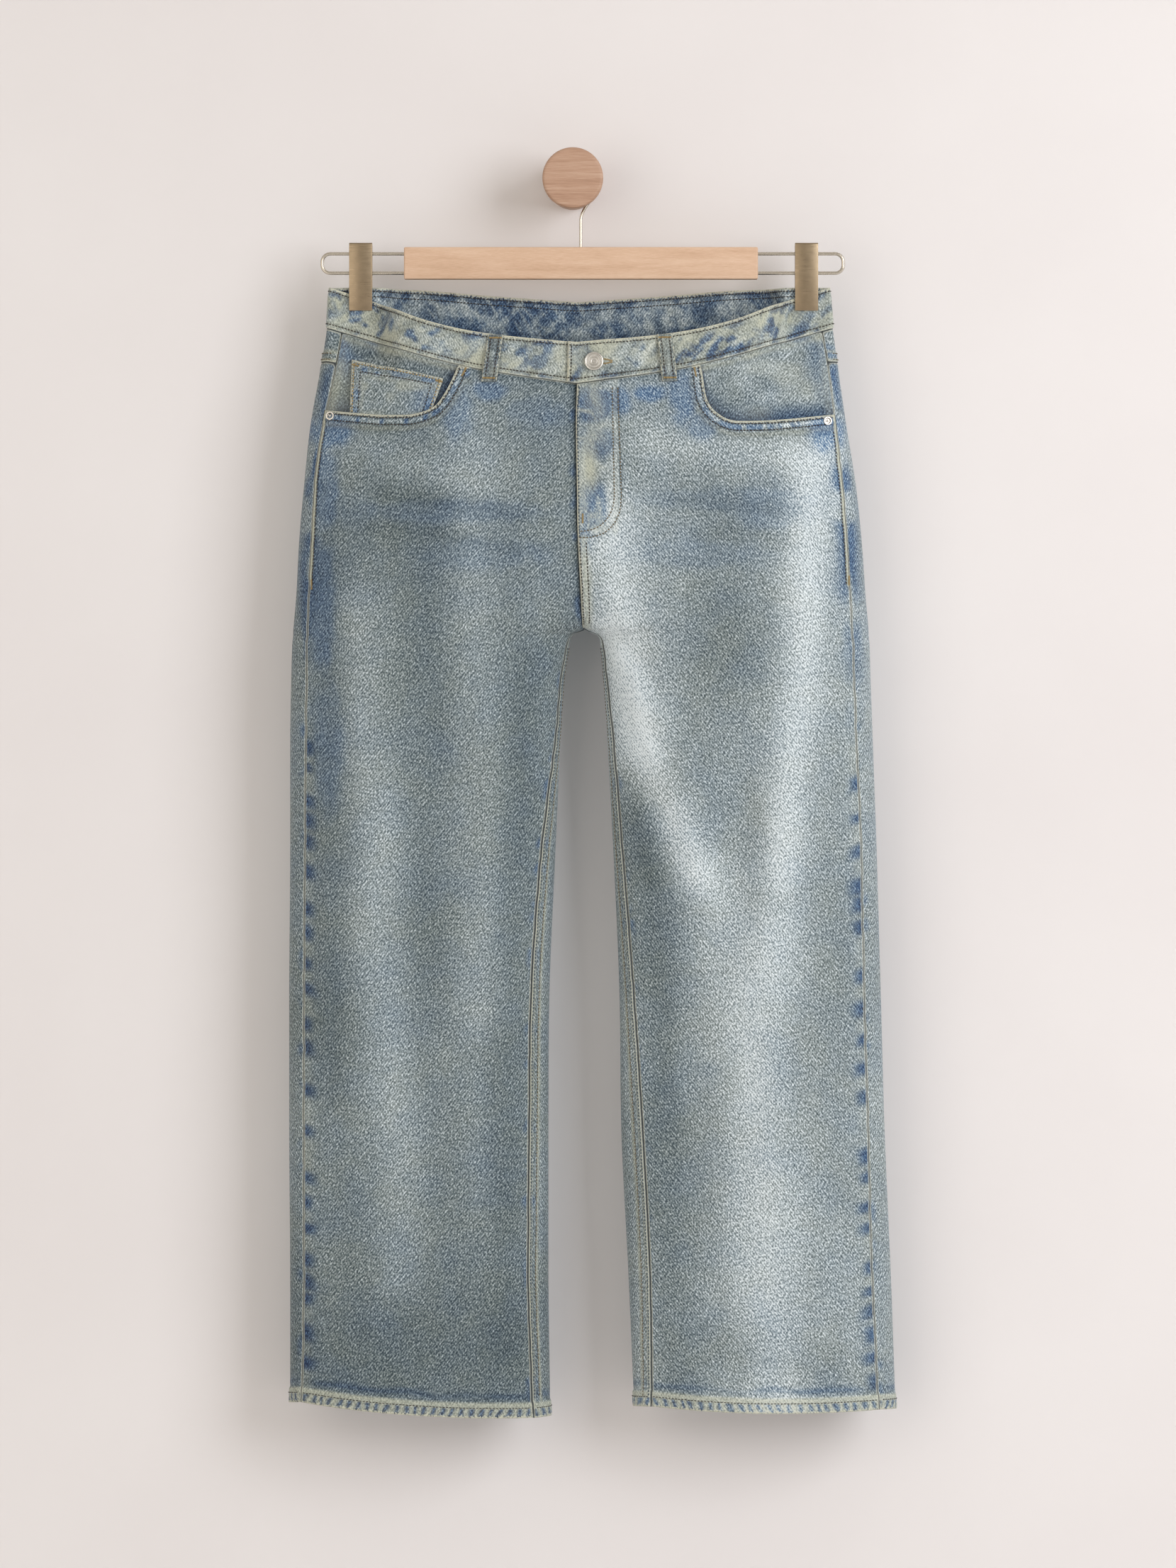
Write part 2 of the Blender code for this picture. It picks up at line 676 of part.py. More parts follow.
def side_wire(name, side, material):
    """A long U that both ends of the bar carry, and that a clip slides on."""
    size = WIRE
    start = BAR["x"][0 if side == LEFT else 1] + side * SEAM_GAP
    end = size["left_x"] if side == LEFT else size["right_x"]
    bend, steps = size["bend"], 5
    points = [(start, HANG_Y, size["top_z"])]
    for centre_z, first in ((size["top_z"] - bend, 90), (size["low_z"] + bend, 0)):
        for step in range(steps + 1):
            turn = radians(first - 90 * step / steps)
            points.append((end - side * bend + side * bend * cos(turn), HANG_Y, centre_z + bend * sin(turn)))
    points.append((start, HANG_Y, size["low_z"]))
    wire(name, points, size["radius"], material)


def hook(material):
    """A stem from the bar, a bend to the right and a round loop over the peg's neck."""
    size = HOOK
    top = BAR["z"][1] + SEAM_GAP
    first = radians(size["enter"])
    stem = (size["stem_x"], size["bend_z"])
    join = (size["loop"] * cos(first), size["loop"] * sin(first))
    points = [(stem[0], HANG_Y, top), (stem[0], HANG_Y, (top + stem[1]) / 2)]
    for step in range(6):
        share = step / 5
        pull = (1 - share) ** 2, 2 * share * (1 - share), share**2
        corner = size["corner"]
        points.append((pull[0] * stem[0] + pull[1] * corner[0] + pull[2] * join[0], HANG_Y,
                       pull[0] * stem[1] + pull[1] * corner[1] + pull[2] * join[1]))
    for step in range(1, size["steps"] + 1):
        turn = first + (radians(size["leave"]) - first) * step / size["steps"]
        points.append((size["loop"] * cos(turn), HANG_Y, size["loop"] * sin(turn)))
    wire("hanger_hook", points, size["radius"], material)


def clip(name, side, material):
    """One plate bent over the wire, a leaf before and a leaf behind the waistband."""
    size = CLIP
    gap, metal = size["half_gap"], size["metal"]
    top, low, middle = size["top_z"], size["low_z"], CLIP_X[side]
    bend = size["bend"]
    section = [(-gap - metal, low), (-gap - metal, top - bend), (bend - gap, top), (gap - bend, top),
               (gap + metal, top - bend), (gap + metal, low), (gap, low), (gap, top - metal - bend),
               (-gap, top - metal - bend), (-gap, low)]
    plate = bmesh.new()
    ring = [plate.verts.new(Vector((middle - size["width"] / 2, HANG_Y + y, z)) * MM) for y, z in section]
    face = plate.faces.new(ring)
    grown = bmesh.ops.extrude_face_region(plate, geom=[face], use_keep_orig=True)
    moved = [item for item in grown["geom"] if isinstance(item, bmesh.types.BMVert)]
    bmesh.ops.translate(plate, verts=moved, vec=(size["width"] * MM, 0, 0))
    face_outwards(plate)
    add_mesh(name, plate, material)


def peg(material):
    size = PEG
    face, neck, edge = (size[key] * MM for key in ("face", "neck", "edge"))
    front, back = -size["face_y"] * MM, -size["back_y"] * MM
    profile = [(0, 0), (0, neck), (back, neck), (back, face - edge), (back + edge, face), (front - edge, face),
               (front - edge * 0.3, face - edge * 0.3), (front, face - edge), (front, 0)]
    turned("wall_peg", profile, size["sides"], material)


# ---------------------------------------------------------------- the whole part


def main():
    clear_scene()
    denim = make_material("denim", (0.22, 0.28, 0.31), 0.9)
    silver = make_material("button metal", (0.55, 0.54, 0.5), 0.35, 1.0)
    brass = make_material("clip metal", (0.42, 0.37, 0.29), 0.4, 1.0)
    nickel = make_material("wire metal", (0.62, 0.6, 0.57), 0.3, 1.0)
    beech = make_material("bar wood", (0.62, 0.5, 0.37), 0.6)
    oak = make_material("peg wood", (0.42, 0.26, 0.14), 0.6)

    for side, word in ((LEFT, "left"), (RIGHT, "right")):
        leg_panel("front_" + word, side, front_angle, FRONT_COLUMNS, front_top, denim)
        leg_panel("back_" + word, side, back_angle, BACK_COLUMNS, back_top, denim)
        yoke("yoke_" + word, side, denim)
        pocket_facing("pocket_facing_" + word, side, denim)
        back_pocket("back_pocket_" + word, side, denim)
        rivet("rivet_" + word, side, silver)
        side_wire("hanger_wire_" + word, side, nickel)
        clip("clip_" + word, side, brass)
    coin_pocket(denim)
    waistband(denim)
    for name, face, x_top, x_low in LOOP_ROWS:
        belt_loop(name, face, x_top, x_low, denim)
    button(silver)
    bar(beech)
    hook(nickel)
    peg(oak)


main()
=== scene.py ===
import math

import bmesh
import bpy
import numpy as np
from mathutils import Matrix, Vector
from mathutils.bvhtree import BVHTree


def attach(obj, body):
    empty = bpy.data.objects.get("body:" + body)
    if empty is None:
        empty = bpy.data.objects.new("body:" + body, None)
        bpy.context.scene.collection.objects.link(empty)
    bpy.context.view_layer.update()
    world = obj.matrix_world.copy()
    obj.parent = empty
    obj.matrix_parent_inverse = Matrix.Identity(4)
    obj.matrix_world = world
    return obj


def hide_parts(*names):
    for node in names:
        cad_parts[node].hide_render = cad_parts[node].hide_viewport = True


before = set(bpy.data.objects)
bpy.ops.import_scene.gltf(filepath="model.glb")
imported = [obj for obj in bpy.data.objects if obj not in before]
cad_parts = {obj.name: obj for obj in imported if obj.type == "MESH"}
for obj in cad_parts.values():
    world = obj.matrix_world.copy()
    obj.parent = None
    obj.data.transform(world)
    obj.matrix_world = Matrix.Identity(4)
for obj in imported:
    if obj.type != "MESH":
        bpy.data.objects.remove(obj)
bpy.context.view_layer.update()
print("packed frame loaded")

mm = 0.001
left, right = -1, 1  # the viewer's left and right
sideWords = {left: "left", right: "right"}
pi, tau = math.pi, 2 * math.pi

# Form of the jeans in mm, as the solids have it: x to the viewer's right, z up, the front towards -y.
form = {"hangY": -62.0, "squareness": 2.4, "crotchZ": -446.0, "splitHeight": 260.0, "cloth": 1.5,
        "pinchFlat": 18.0, "pinchSlope": 14.0, "pinchDepth": 2.0, "pinchTop": -135.0, "pinchFade": 75.0,
        "seamGap": 0.3, "panelWidth": 270.0, "hipTackZ": -402.0}
clipX = {left: -209.3, right: 230.7}

# height, outline, outseam, inner outline, inseam, depth before and behind the hanger's plane
rowNames = ["z", "reach", "seam", "inner", "inseam", "front", "back"]
legRows = {
    left: [
        (-105, -240, -227, 0, 0, 45, 33), (-149, -243, -228, 0, 0, 48, 35), (-187, -249, -234, 0, 0, 51, 38),
        (-243, -259, -246, 0, 0, 55, 42), (-299, -265, -254, 0, 0, 57, 45), (-355, -270, -257, 0, 0, 58, 46),
        (-411, -273, -260, 0, 0, 57, 46), (-446, -276, -261, 5, 3, 56, 45), (-450, -276, -261, -1, -2, 56, 45),
        (-460, -277, -262, -4, -6, 55, 45), (-495, -278, -262, -9, -12, 54, 44),
        (-551, -279, -263, -12, -17, 52, 43), (-663, -279, -264, -17, -31, 49, 41),
        (-803, -280, -265, -23, -41, 46, 39), (-943, -280, -265, -24, -43, 45, 38),
        (-1083, -279, -265, -24, -44, 46, 39), (-1225, -279, -267, -22, -39, 48, 41),
    ],
    right: [
        (-105, 253, 240, 0, 0, 45, 33), (-149, 257, 246, 0, 0, 48, 35), (-187, 262, 252, 0, 0, 51, 38),
        (-243, 270, 259, 0, 0, 55, 42), (-299, 279, 265, 0, 0, 57, 45), (-355, 285, 270, 0, 0, 58, 46),
        (-411, 289, 273, 0, 0, 57, 46), (-446, 292, 275, 15, 17, 56, 45), (-450, 292, 275, 25, 26, 56, 45),
        (-460, 293, 276, 28, 30, 55, 45), (-495, 294, 277, 31, 34, 54, 44),
        (-551, 296, 279, 34, 40, 52, 43), (-663, 300, 284, 40, 49, 49, 41),
        (-803, 304, 287, 46, 60, 46, 39), (-943, 308, 291, 48, 69, 45, 38),
        (-1083, 314, 295, 55, 76, 46, 39), (-1225, 319, 302, 61, 78, 48, 41),
    ],
}
# height and x of the centre seam
centreRows = [(-105, 5), (-205, 4), (-243, 3), (-299, 4), (-355, 5), (-411, 8), (-446, 10)]

# waistband: share of the half width, top and lower edge in front, top edge behind
bandNames = ["share", "frontTop", "frontLow", "backTop"]
bandRows = [(0.00, -164, -204.5, -119), (0.38, -154, -190, -112.5), (0.61, -141, -176, -108),
            (0.82, -121, -160, -107), (1.00, -107, -147, -107)]
bandHeight = 40.0

# large folds: z and x at their top, middle and low end, rise, half width
folds = {
    (left, "front"): [
        (-340, -640, -1010, -200, -206, -212, 5, 30), (-470, -640, -860, -84, -78, -84, 4, 22),
        (-420, -720, -1100, -140, -142, -150, -6, 30), (-700, -980, -1225, -70, -62, -58, 4, 16),
    ],
    (right, "front"): [
        (-500, -800, -1150, 222, 192, 206, 8, 30), (-455, -620, -800, 46, 108, 160, 6, 24),
        (-520, -650, -790, 172, 160, 140, -8, 26), (-760, -980, -1225, 105, 118, 128, -6, 34),
    ],
    (left, "back"): [
        (-480, -760, -1120, -190, -200, -190, -6, 34), (-460, -700, -980, -95, -110, -120, 5, 28),
    ],
    (right, "back"): [
        (-480, -740, -1080, 200, 215, 225, -6, 34), (-470, -720, -1000, 95, 120, 130, 5, 30),
    ],
}

# smaller creases, placed one by one: start x and z, end x and z, rise, half width
creases = {
    (left, "front"): [
        (-186, -316, -60, -333, -1.0, 7), (-176, -348, -70, -372, -0.9, 9),
        (-30, -412, -128, -486, 1.4, 10), (-18, -446, -92, -540, -1.3, 9),
        (-236, -262, -150, -276, -0.9, 8), (-120, -250, -104, -420, 1.2, 16),
        (-40, -700, -52, -1010, -1.2, 10), (-236, -560, -246, -900, 1.2, 9),
        (-118, -980, -102, -1180, -1.5, 14), (-182, -1030, -206, -1190, 1.4, 12),
        (-150, -560, -120, -820, 1.3, 12), (-262, -1196, -228, -1188, -1.0, 5),
    ],
    (right, "front"): [
        (22, -372, 60, -470, 1.6, 12), (30, -430, 96, -520, -1.3, 9), (66, -330, 200, -300, -0.9, 9),
        (190, -262, 246, -330, 1.2, 12), (232, -250, 228, -480, 2.2, 15), (250, -420, 262, -900, -1.4, 9),
        (128, -300, 150, -470, -1.6, 20), (76, -640, 92, -1000, -1.6, 12), (236, -960, 246, -1190, 1.5, 12),
        (150, -820, 160, -1120, 1.2, 16), (120, -1120, 210, -1160, 0.9, 10), (60, -520, 110, -600, -1.5, 9),
    ],
    (left, "back"): [
        (-30, -440, -150, -500, -2.0, 11), (-36, -476, -120, -600, 1.6, 10),
        (-60, -430, -200, -452, 1.3, 9), (-150, -760, -70, -820, -1.6, 12),
        (-230, -800, -110, -850, 1.4, 12), (-70, -900, -60, -1180, -1.4, 14),
    ],
    (right, "back"): [
        (44, -440, 160, -500, -2.0, 11), (50, -480, 130, -610, 1.6, 10), (76, -430, 210, -450, 1.3, 9),
        (240, -770, 130, -830, -1.6, 12), (110, -820, 250, -870, 1.4, 12), (100, -920, 96, -1180, -1.4, 14),
    ],
}

# how much paler or darker the cloth is along soft strokes: partly the wash and its whiskers, partly painted
# highlight along fold ridges and painted shade in fold troughs, as the light comes from the right: points (x,
# z), half width, amount
strokes = {
    (left, "front"): [
        ([(-108, -215), (-102, -400), (-91, -620), (-88, -820)], 27, 0.13),
        ([(-214, -430), (-205, -524), (-192, -700), (-175, -880), (-168, -1080)], 27, 0.15),
        ([(-60, -300), (-46, -340), (-60, -420)], 34, 0.05),
        ([(-216, -262), (-150, -285), (-126, -290)], 18, 0.08),
        ([(-150, -330), (-142, -640), (-146, -820)], 26, -0.06),
        ([(-38, -470), (-46, -520), (-56, -640), (-64, -760), (-64, -1150)], 17, -0.09),
        ([(-240, -330), (-236, -600), (-236, -900)], 15, -0.06),
        ([(-230, -1140), (-140, -1150), (-50, -1160)], 90, -0.1),
        ([(-190, -312), (-120, -322), (-52, -334)], 8, -0.1),
        ([(-200, -345), (-120, -352), (-60, -366)], 9, -0.07),
    ],
    (right, "front"): [
        ([(31, -449), (52, -508), (72, -571), (98, -634), (122, -684)], 20, 0.25),
        ([(100, -636), (136, -710), (160, -800), (170, -900)], 24, 0.08),
        ([(36, -330), (44, -400), (52, -500), (64, -560)], 25, 0.27),
        ([(233, -282), (229, -371), (223, -508), (209, -610), (201, -680)], 24, 0.27),
        ([(196, -738), (190, -790), (182, -860), (182, -960), (192, -1090), (208, -1220)], 34, 0.2),
        ([(150, -420), (146, -540), (150, -640)], 26, -0.03),
        ([(130, -290), (160, -380), (160, -470)], 40, -0.1),
        ([(80, -262), (120, -270), (200, -275)], 22, 0.14),
        ([(44, -490), (54, -545), (66, -625), (78, -690)], 15, -0.1),
        ([(66, -640), (82, -760), (92, -1000), (106, -1240)], 24, -0.17),
        ([(250, -700), (262, -1000)], 24, -0.05), ([(150, -1150), (240, -1170)], 30, -0.1),
        ([(96, -318), (150, -322), (215, -330)], 8, -0.08),
        ([(120, -352), (170, -350), (210, -356)], 9, -0.06),
    ],
    (left, "back"): [
        ([(-130, -300), (-120, -500), (-110, -800), (-110, -1100)], 44, 0.12),
        ([(-200, -480), (-210, -900)], 24, -0.06),
    ],
    (right, "back"): [
        ([(140, -300), (140, -500), (150, -800), (160, -1100)], 44, 0.13),
        ([(230, -480), (240, -900)], 24, -0.06),
    ],
}

# heights where a stitch has gathered the outseam, so that the fold kept its indigo
gathers = {
    left: [-561, -580, -613, -632, -653, -682, -719, -742, -773, -797, -832, -855, -897, -937, -983, -1007,
           -1033, -1064, -1085, -1102, -1135, -1165],
    right: [-596, -630, -662, -697, -714, -737, -785, -817, -848, -876, -904, -962, -983, -1012, -1033, -1072,
            -1095, -1114, -1137, -1160, -1184],
}

# indigo that the wash has left: x, z, half width, half height, amount
indigoPatches = {
    (left, "front"): [
        (-240, -250, 20, 16, 0.7), (-112, -232, 15, 24, 0.5), (-84, -212, 16, 9, 0.6),
        (-244, -310, 12, 40, 0.5), (-246, -420, 12, 60, 0.5), (-120, -330, 90, 10, 0.28),
        (-92, -372, 60, 14, 0.25), (-240, -560, 14, 60, 0.3), (-36, -232, 28, 14, 0.3),
    ],
    (right, "front"): [
        (22, -226, 17, 16, 1.0), (24, -262, 16, 14, 0.75), (20, -326, 13, 22, 0.85), (12, -356, 8, 12, 0.6),
        (46, -222, 10, 12, 0.7), (76, -214, 14, 8, 0.8), (108, -218, 13, 24, 0.6), (128, -246, 14, 12, 0.5),
        (250, -252, 16, 18, 0.9), (150, -318, 80, 10, 0.22), (190, -330, 34, 16, 0.25),
        (116, -372, 60, 12, 0.2),
    ],
    (left, "back"): [
        (-60, -248, 60, 10, 0.6), (-110, -276, 80, 8, 0.4),
    ],
    (right, "back"): [
        (60, -248, 60, 10, 0.6), (120, -276, 80, 8, 0.4),
    ],
}


def ease(share):
    share = np.clip(share, 0.0, 1.0)
    return share * share * (3 - 2 * share)


def near(distance, width):
    return np.exp(-(distance / width) ** 2)


# a cubic through one column of a table, which its first column orders, with no overshoot past its neighbours
def smoothThrough(rows, column, at):
    rows = np.asarray(rows, float)
    if rows[0, 0] > rows[-1, 0]:
        rows = rows[::-1]
    places, values = rows[:, 0], rows[:, column]
    at = np.clip(np.asarray(at, float), places[0], places[-1])
    here = np.clip(np.searchsorted(places, at, side="right") - 1, 0, len(places) - 2)
    before, beyond = np.maximum(here - 1, 0), np.minimum(here + 2, len(places) - 1)
    span = places[here + 1] - places[here]
    share = (at - places[here]) / span
    step = values[here + 1] - values[here]
    slopes = []
    for low, high in ((before, here + 1), (here, beyond)):
        slope = (values[high] - values[low]) / (places[high] - places[low]) * span
        limit = 3 * np.abs(step)
        slopes.append(np.where(slope * step > 0, np.clip(slope, -limit, limit), 0.0))
    square, cube = share ** 2, share ** 3
    return ((2 * cube - 3 * square + 1) * values[here] + (cube - 2 * square + share) * slopes[0]
            + (3 * square - 2 * cube) * values[here + 1] + (cube - square) * slopes[1])


hillHeights = np.random.RandomState(11).rand(64, 64)


# smooth random hills from 0 to 1, one hill to each unit
def hills(x, y, seed=0):
    x, y = np.broadcast_arrays(np.asarray(x, float) + 17.37 * seed, np.asarray(y, float) + 9.13 * seed)
    column, row = np.floor(x).astype(int), np.floor(y).astype(int)
    across, up = ease(x - column), ease(y - row)

    def corner(i, j):
        return hillHeights[(row + j) % 64, (column + i) % 64]

    low = corner(0, 0) * (1 - across) + corner(1, 0) * across
    high = corner(0, 1) * (1 - across) + corner(1, 1) * across
    return low * (1 - up) + high * up


# thin pale lines where the cloth was crumpled in the wash, 1 on a line
def veins(x, y, seed, sharp=5.0):
    bent = x + 0.6 * hills(x * 0.7, y * 0.7, seed + 2)
    fine = 1 - sharp * np.abs(hills(bent, y, seed) - 0.5)
    wide = 1 - 0.7 * sharp * np.abs(hills(bent * 0.53 + 3, y * 0.6, seed + 1) - 0.5)
    return ease(np.maximum(fine, wide))


def centreX(z):
    return smoothThrough(centreRows, 1, z)


def halfRow(side, z):
    return {name: smoothThrough(legRows[side], rowNames.index(name), z) for name in rowNames[1:]}


def bandEdge(share, front, edge):
    share = np.minimum(np.abs(share), 1.0)
    ahead = smoothThrough(bandRows, bandNames.index("front" + edge), share)
    behind = smoothThrough(bandRows, bandNames.index("backTop"), share)
    return np.where(front, ahead, behind if edge == "Top" else behind - bandHeight)


# centre, half width and depths of a half's section, cut off at the centre seam above the crotch
def oval(side, z):
    row = halfRow(side, z)
    centre = centreX(z)
    above = z > form["crotchZ"]
    whole = np.abs(row["reach"] - centre)
    part = np.minimum((z - form["crotchZ"]) / form["splitHeight"], 1.0)
    split = 0.5 * (1 - part) ** 2
    middle = np.where(above, centre + side * split * whole, (row["reach"] + row["inner"]) / 2)
    half = np.where(above, (1 - split) * whole, np.abs(row["reach"] - row["inner"]) / 2)
    return middle, half, row


# the angle round a section, from its outer end, at which the front or the back passes x
def angleAt(side, z, x, front):
    middle, half = oval(side, z)[:2]
    share = np.clip(side * (x - middle) / half, -1.0, 1.0)
    turn = np.arccos(np.sign(share) * np.abs(share) ** (form["squareness"] / 2))
    return np.where(front, turn, -turn)


def seamAngles(side, z):
    row = halfRow(side, z)
    outseam = angleAt(side, z, row["seam"], True)
    centre = centreX(z)
    inseam = angleAt(side, z, row["inseam"], True)
    above = z > form["crotchZ"]
    innerFront = np.where(above, angleAt(side, z, centre, True), inseam)
    innerBack = np.where(above, angleAt(side, z, centre, False), inseam - tau)
    return outseam, innerFront, innerBack


def pinch(side, x, z):
    past = np.maximum(np.abs(x - clipX[side]) - form["pinchFlat"], 0.0) / form["pinchSlope"]
    return np.exp(-past * past) * (1 - ease((form["pinchTop"] - z) / form["pinchFade"]))


# the rows of a table for one side, each with whether it counts at points on the front or the back
def rowsFor(table, side, front):
    for face in ("front", "back"):
        for row in table[side, face]:
            yield (face == "front") == front, row


# all folds, creases and the soft unevenness of hung cloth at a point, mm outwards
def drape(side, front, x, z):
    total = np.zeros(np.broadcast(x, z).shape)
    for here, (zTop, zMid, zLow, xTop, xMid, xLow, rise, width) in rowsFor(folds, side, front):
        line = [(zLow, xLow), (zMid, xMid), (zTop, xTop)]
        away = (x - smoothThrough(line, 1, z)) / width
        length = np.clip((zTop - z) / (zTop - zLow), 0, 1)
        value = rise * np.exp(-away * away) * ease(np.minimum(length, 1 - length) * 4)
        total = total + np.where(here, value, 0.0)
    for here, (x1, z1, x2, z2, rise, width) in rowsFor(creases, side, front):
        length = math.hypot(x2 - x1, z2 - z1)
        along = ((x - x1) * (x2 - x1) + (z - z1) * (z2 - z1)) / length ** 2
        away = ((x - x1) * (z2 - z1) - (z - z1) * (x2 - x1)) / length
        away = away + 4 * (hills(along * length / 55, 0.5, 40 + x1 / 100) - 0.5)
        value = rise * near(away, width) * ease(np.minimum(along, 1 - along) * 3.5)
        total = total + np.where(here, value, 0.0)
    seed = np.where(front, 3, 21)
    waves = (hills(x / 46, z / 120, seed) - 0.5) * 3.4 + (hills(x / 17 + z / 90, z / 48, seed + 5) - 0.5) * 1.0
    waves = waves + (hills(x / 7, z / 11, seed + 9) - 0.5) * 0.22
    settled = ease((-150 - z) / 70)  # the cloth is held flat at the waistband
    return total + waves * settled


# the point of the outer face at a height and an angle round the section, mm
def skin(side, z, angle):
    middle, half, row = oval(side, z)
    across, along = np.cos(angle), np.sin(angle)
    power = 2 / form["squareness"]
    x = middle + side * half * np.sign(across) * np.abs(across) ** power
    front = along >= 0
    depth = np.where(front, row["front"], row["back"]) * np.abs(along) ** power
    closed = pinch(side, x, z)
    depth = depth * (1 - closed) + np.minimum(depth, form["pinchDepth"]) * closed
    depth = depth + drape(side, front, x, z) * np.minimum(np.abs(along) * 1.5, 1.0) * (1 - closed)
    return np.stack(np.broadcast_arrays(x, form["hangY"] + np.where(front, -depth, depth), z), -1)


# the point that stands off the outer face along its normal, and that normal
def proud(side, z, angle, offset):
    z, angle, offset = np.broadcast_arrays(np.asarray(z, float), angle, offset)
    along = skin(side, z, angle + 0.02) - skin(side, z, angle - 0.02)
    up = skin(side, z + 1.0, angle) - skin(side, z - 1.0, angle)
    normal = np.cross(up, along) * side
    normal = normal / np.linalg.norm(normal, axis=-1, keepdims=True)
    return skin(side, z, angle) + normal * offset[..., None], normal


def frontPoint(side, x, z, offset):
    return proud(side, z, angleAt(side, z, x, True), offset)


def backPoint(side, x, z, offset):
    return proud(side, z, angleAt(side, z, x, False), offset)


# tables from a share of a panel's width to the angle round the section, at many heights
tableHeights = np.concatenate([np.linspace(-1236, -446.01, 240), np.linspace(-445.99, -95, 120)])
tableShares = np.linspace(0, 1, 97)
angleTables, widthTables = {}, {}
for side in (left, right):
    outseam, innerFront, innerBack = seamAngles(side, tableHeights)
    for face, end in (("front", innerFront), ("back", innerBack)):
        angles = outseam[:, None] + (end - outseam)[:, None] * tableShares
        points = skin(side, tableHeights[:, None] + 0 * angles, angles)
        steps = np.linalg.norm(np.diff(points, axis=1), axis=2)
        runs = np.concatenate([np.zeros((len(steps), 1)), np.cumsum(steps, axis=1)], axis=1)
        table = [np.interp(tableShares * run[-1], run, row) for run, row in zip(runs, angles)]
        angleTables[side, face] = np.array(table)
        widthTables[side, face] = runs[:, -1]
print("form tables ready")


def angleFor(side, face, z, share):
    z, share = np.broadcast_arrays(np.asarray(z, float), np.asarray(share, float))
    table = angleTables[side, face]
    row = np.clip(np.searchsorted(tableHeights, z) - 1, 0, len(tableHeights) - 2)
    up = np.clip((z - tableHeights[row]) / (tableHeights[row + 1] - tableHeights[row]), 0, 1)
    place = np.clip(share, 0, 1) * (len(tableShares) - 1)
    column = np.minimum(place.astype(int), len(tableShares) - 2)
    across = place - column
    low = table[row, column] * (1 - across) + table[row, column + 1] * across
    high = table[row + 1, column] * (1 - across) + table[row + 1, column + 1] * across
    return low * (1 - up) + high * up


def panelWidth(side, face, z):
    return np.interp(z, tableHeights, widthTables[side, face])


def widthShare(side, x, z):
    centre = centreX(z)
    return np.abs(x - centre) / np.abs(halfRow(side, z)["reach"] - centre)


# distance from points to a line of points, and how far along the line the nearest place is
def lineDistance(x, z, line):
    line = np.asarray(line, float)
    best = np.full(np.shape(x), 1e9)
    reached = np.zeros(np.shape(x))
    run = 0.0
    for (x1, z1), (x2, z2) in zip(line[:-1], line[1:]):
        length = math.hypot(x2 - x1, z2 - z1)
        along = np.clip(((x - x1) * (x2 - x1) + (z - z1) * (z2 - z1)) / length ** 2, 0, 1)
        away = np.hypot(x - x1 - along * (x2 - x1), z - z1 - along * (z2 - z1))
        reached = np.where(away < best, run + along * length, reached)
        best = np.minimum(best, away)
        run += length
    return best, reached


# the left leg's lower level is partly painted shade, for the side away from the key light on the right
washAndShadeLevel = {left: 0.41, right: 0.55, "back": 0.47}  # how pale the front of each leg and the back are


# how faded, and how indigo, the cloth is at a point: the wash, with painted highlight and shade in the fade
def washAndPaintedLight(side, front, x, z):
    fadeAndPaintedLight = np.where(front, washAndShadeLevel[side], washAndShadeLevel["back"]) + 0 * (x + z)
    fadeAndPaintedLight = fadeAndPaintedLight + (hills(x / 30, z / 110, 31 + side) - 0.5) * 0.07
    fadeAndPaintedLight = fadeAndPaintedLight + (hills(x / 80, z / 90, 33 + side) - 0.5) * 0.08
    for here, (line, width, amount) in rowsFor(strokes, side, front):
        away = lineDistance(x, z, line)[0]
        blur = width * (0.85 + 0.4 * hills(x / 30, z / 60, 37))
        fadeAndPaintedLight = fadeAndPaintedLight + np.where(here, amount * near(away, blur), 0.0)
    indigo = 0 * fadeAndPaintedLight
    broken = hills(x / 9, z / 13, 51) * 0.6 + hills(x / 4.5, z / 6, 52) * 0.4
    for here, (px, pz, wide, high, amount) in rowsFor(indigoPatches, side, front):
        shape = near(x - px, wide) * near(z - pz, high)
        value = amount * ease(shape * 1.6 * (0.45 + 1.1 * broken))
        indigo = np.maximum(indigo, np.where(here, value, 0.0))
    return fadeAndPaintedLight, indigo


def linear(hexColour):
    parts = [int(hexColour[i:i + 2], 16) / 255 for i in (1, 3, 5)]
    return (*[c / 12.92 if c <= 0.04045 else ((c + 0.055) / 1.055) ** 2.4 for c in parts], 1.0)


# adds a node with its settings, and links or sets its inputs
def addNode(tree, kind, inputs=None, **settings):
    node = tree.nodes.new("ShaderNode" + kind)
    for name, value in settings.items():
        setattr(node, name, value)
    for socket, value in (inputs or {}).items():
        if isinstance(value, bpy.types.NodeSocket):
            tree.links.new(value, node.inputs[socket])
        else:
            node.inputs[socket].default_value = value
    return node


def newMaterial(name):
    material = bpy.data.materials.new(name)
    material.use_nodes = True
    material.node_tree.nodes.clear()
    return material, material.node_tree


def setRamp(node, stops):
    ramp = node.color_ramp
    while len(ramp.elements) > 1:
        ramp.elements.remove(ramp.elements[-1])
    ramp.elements[0].position = stops[0][0]
    ramp.elements[0].color = linear(stops[0][1])
    for position, colour in stops[1:]:
        ramp.elements.new(position).color = linear(colour)


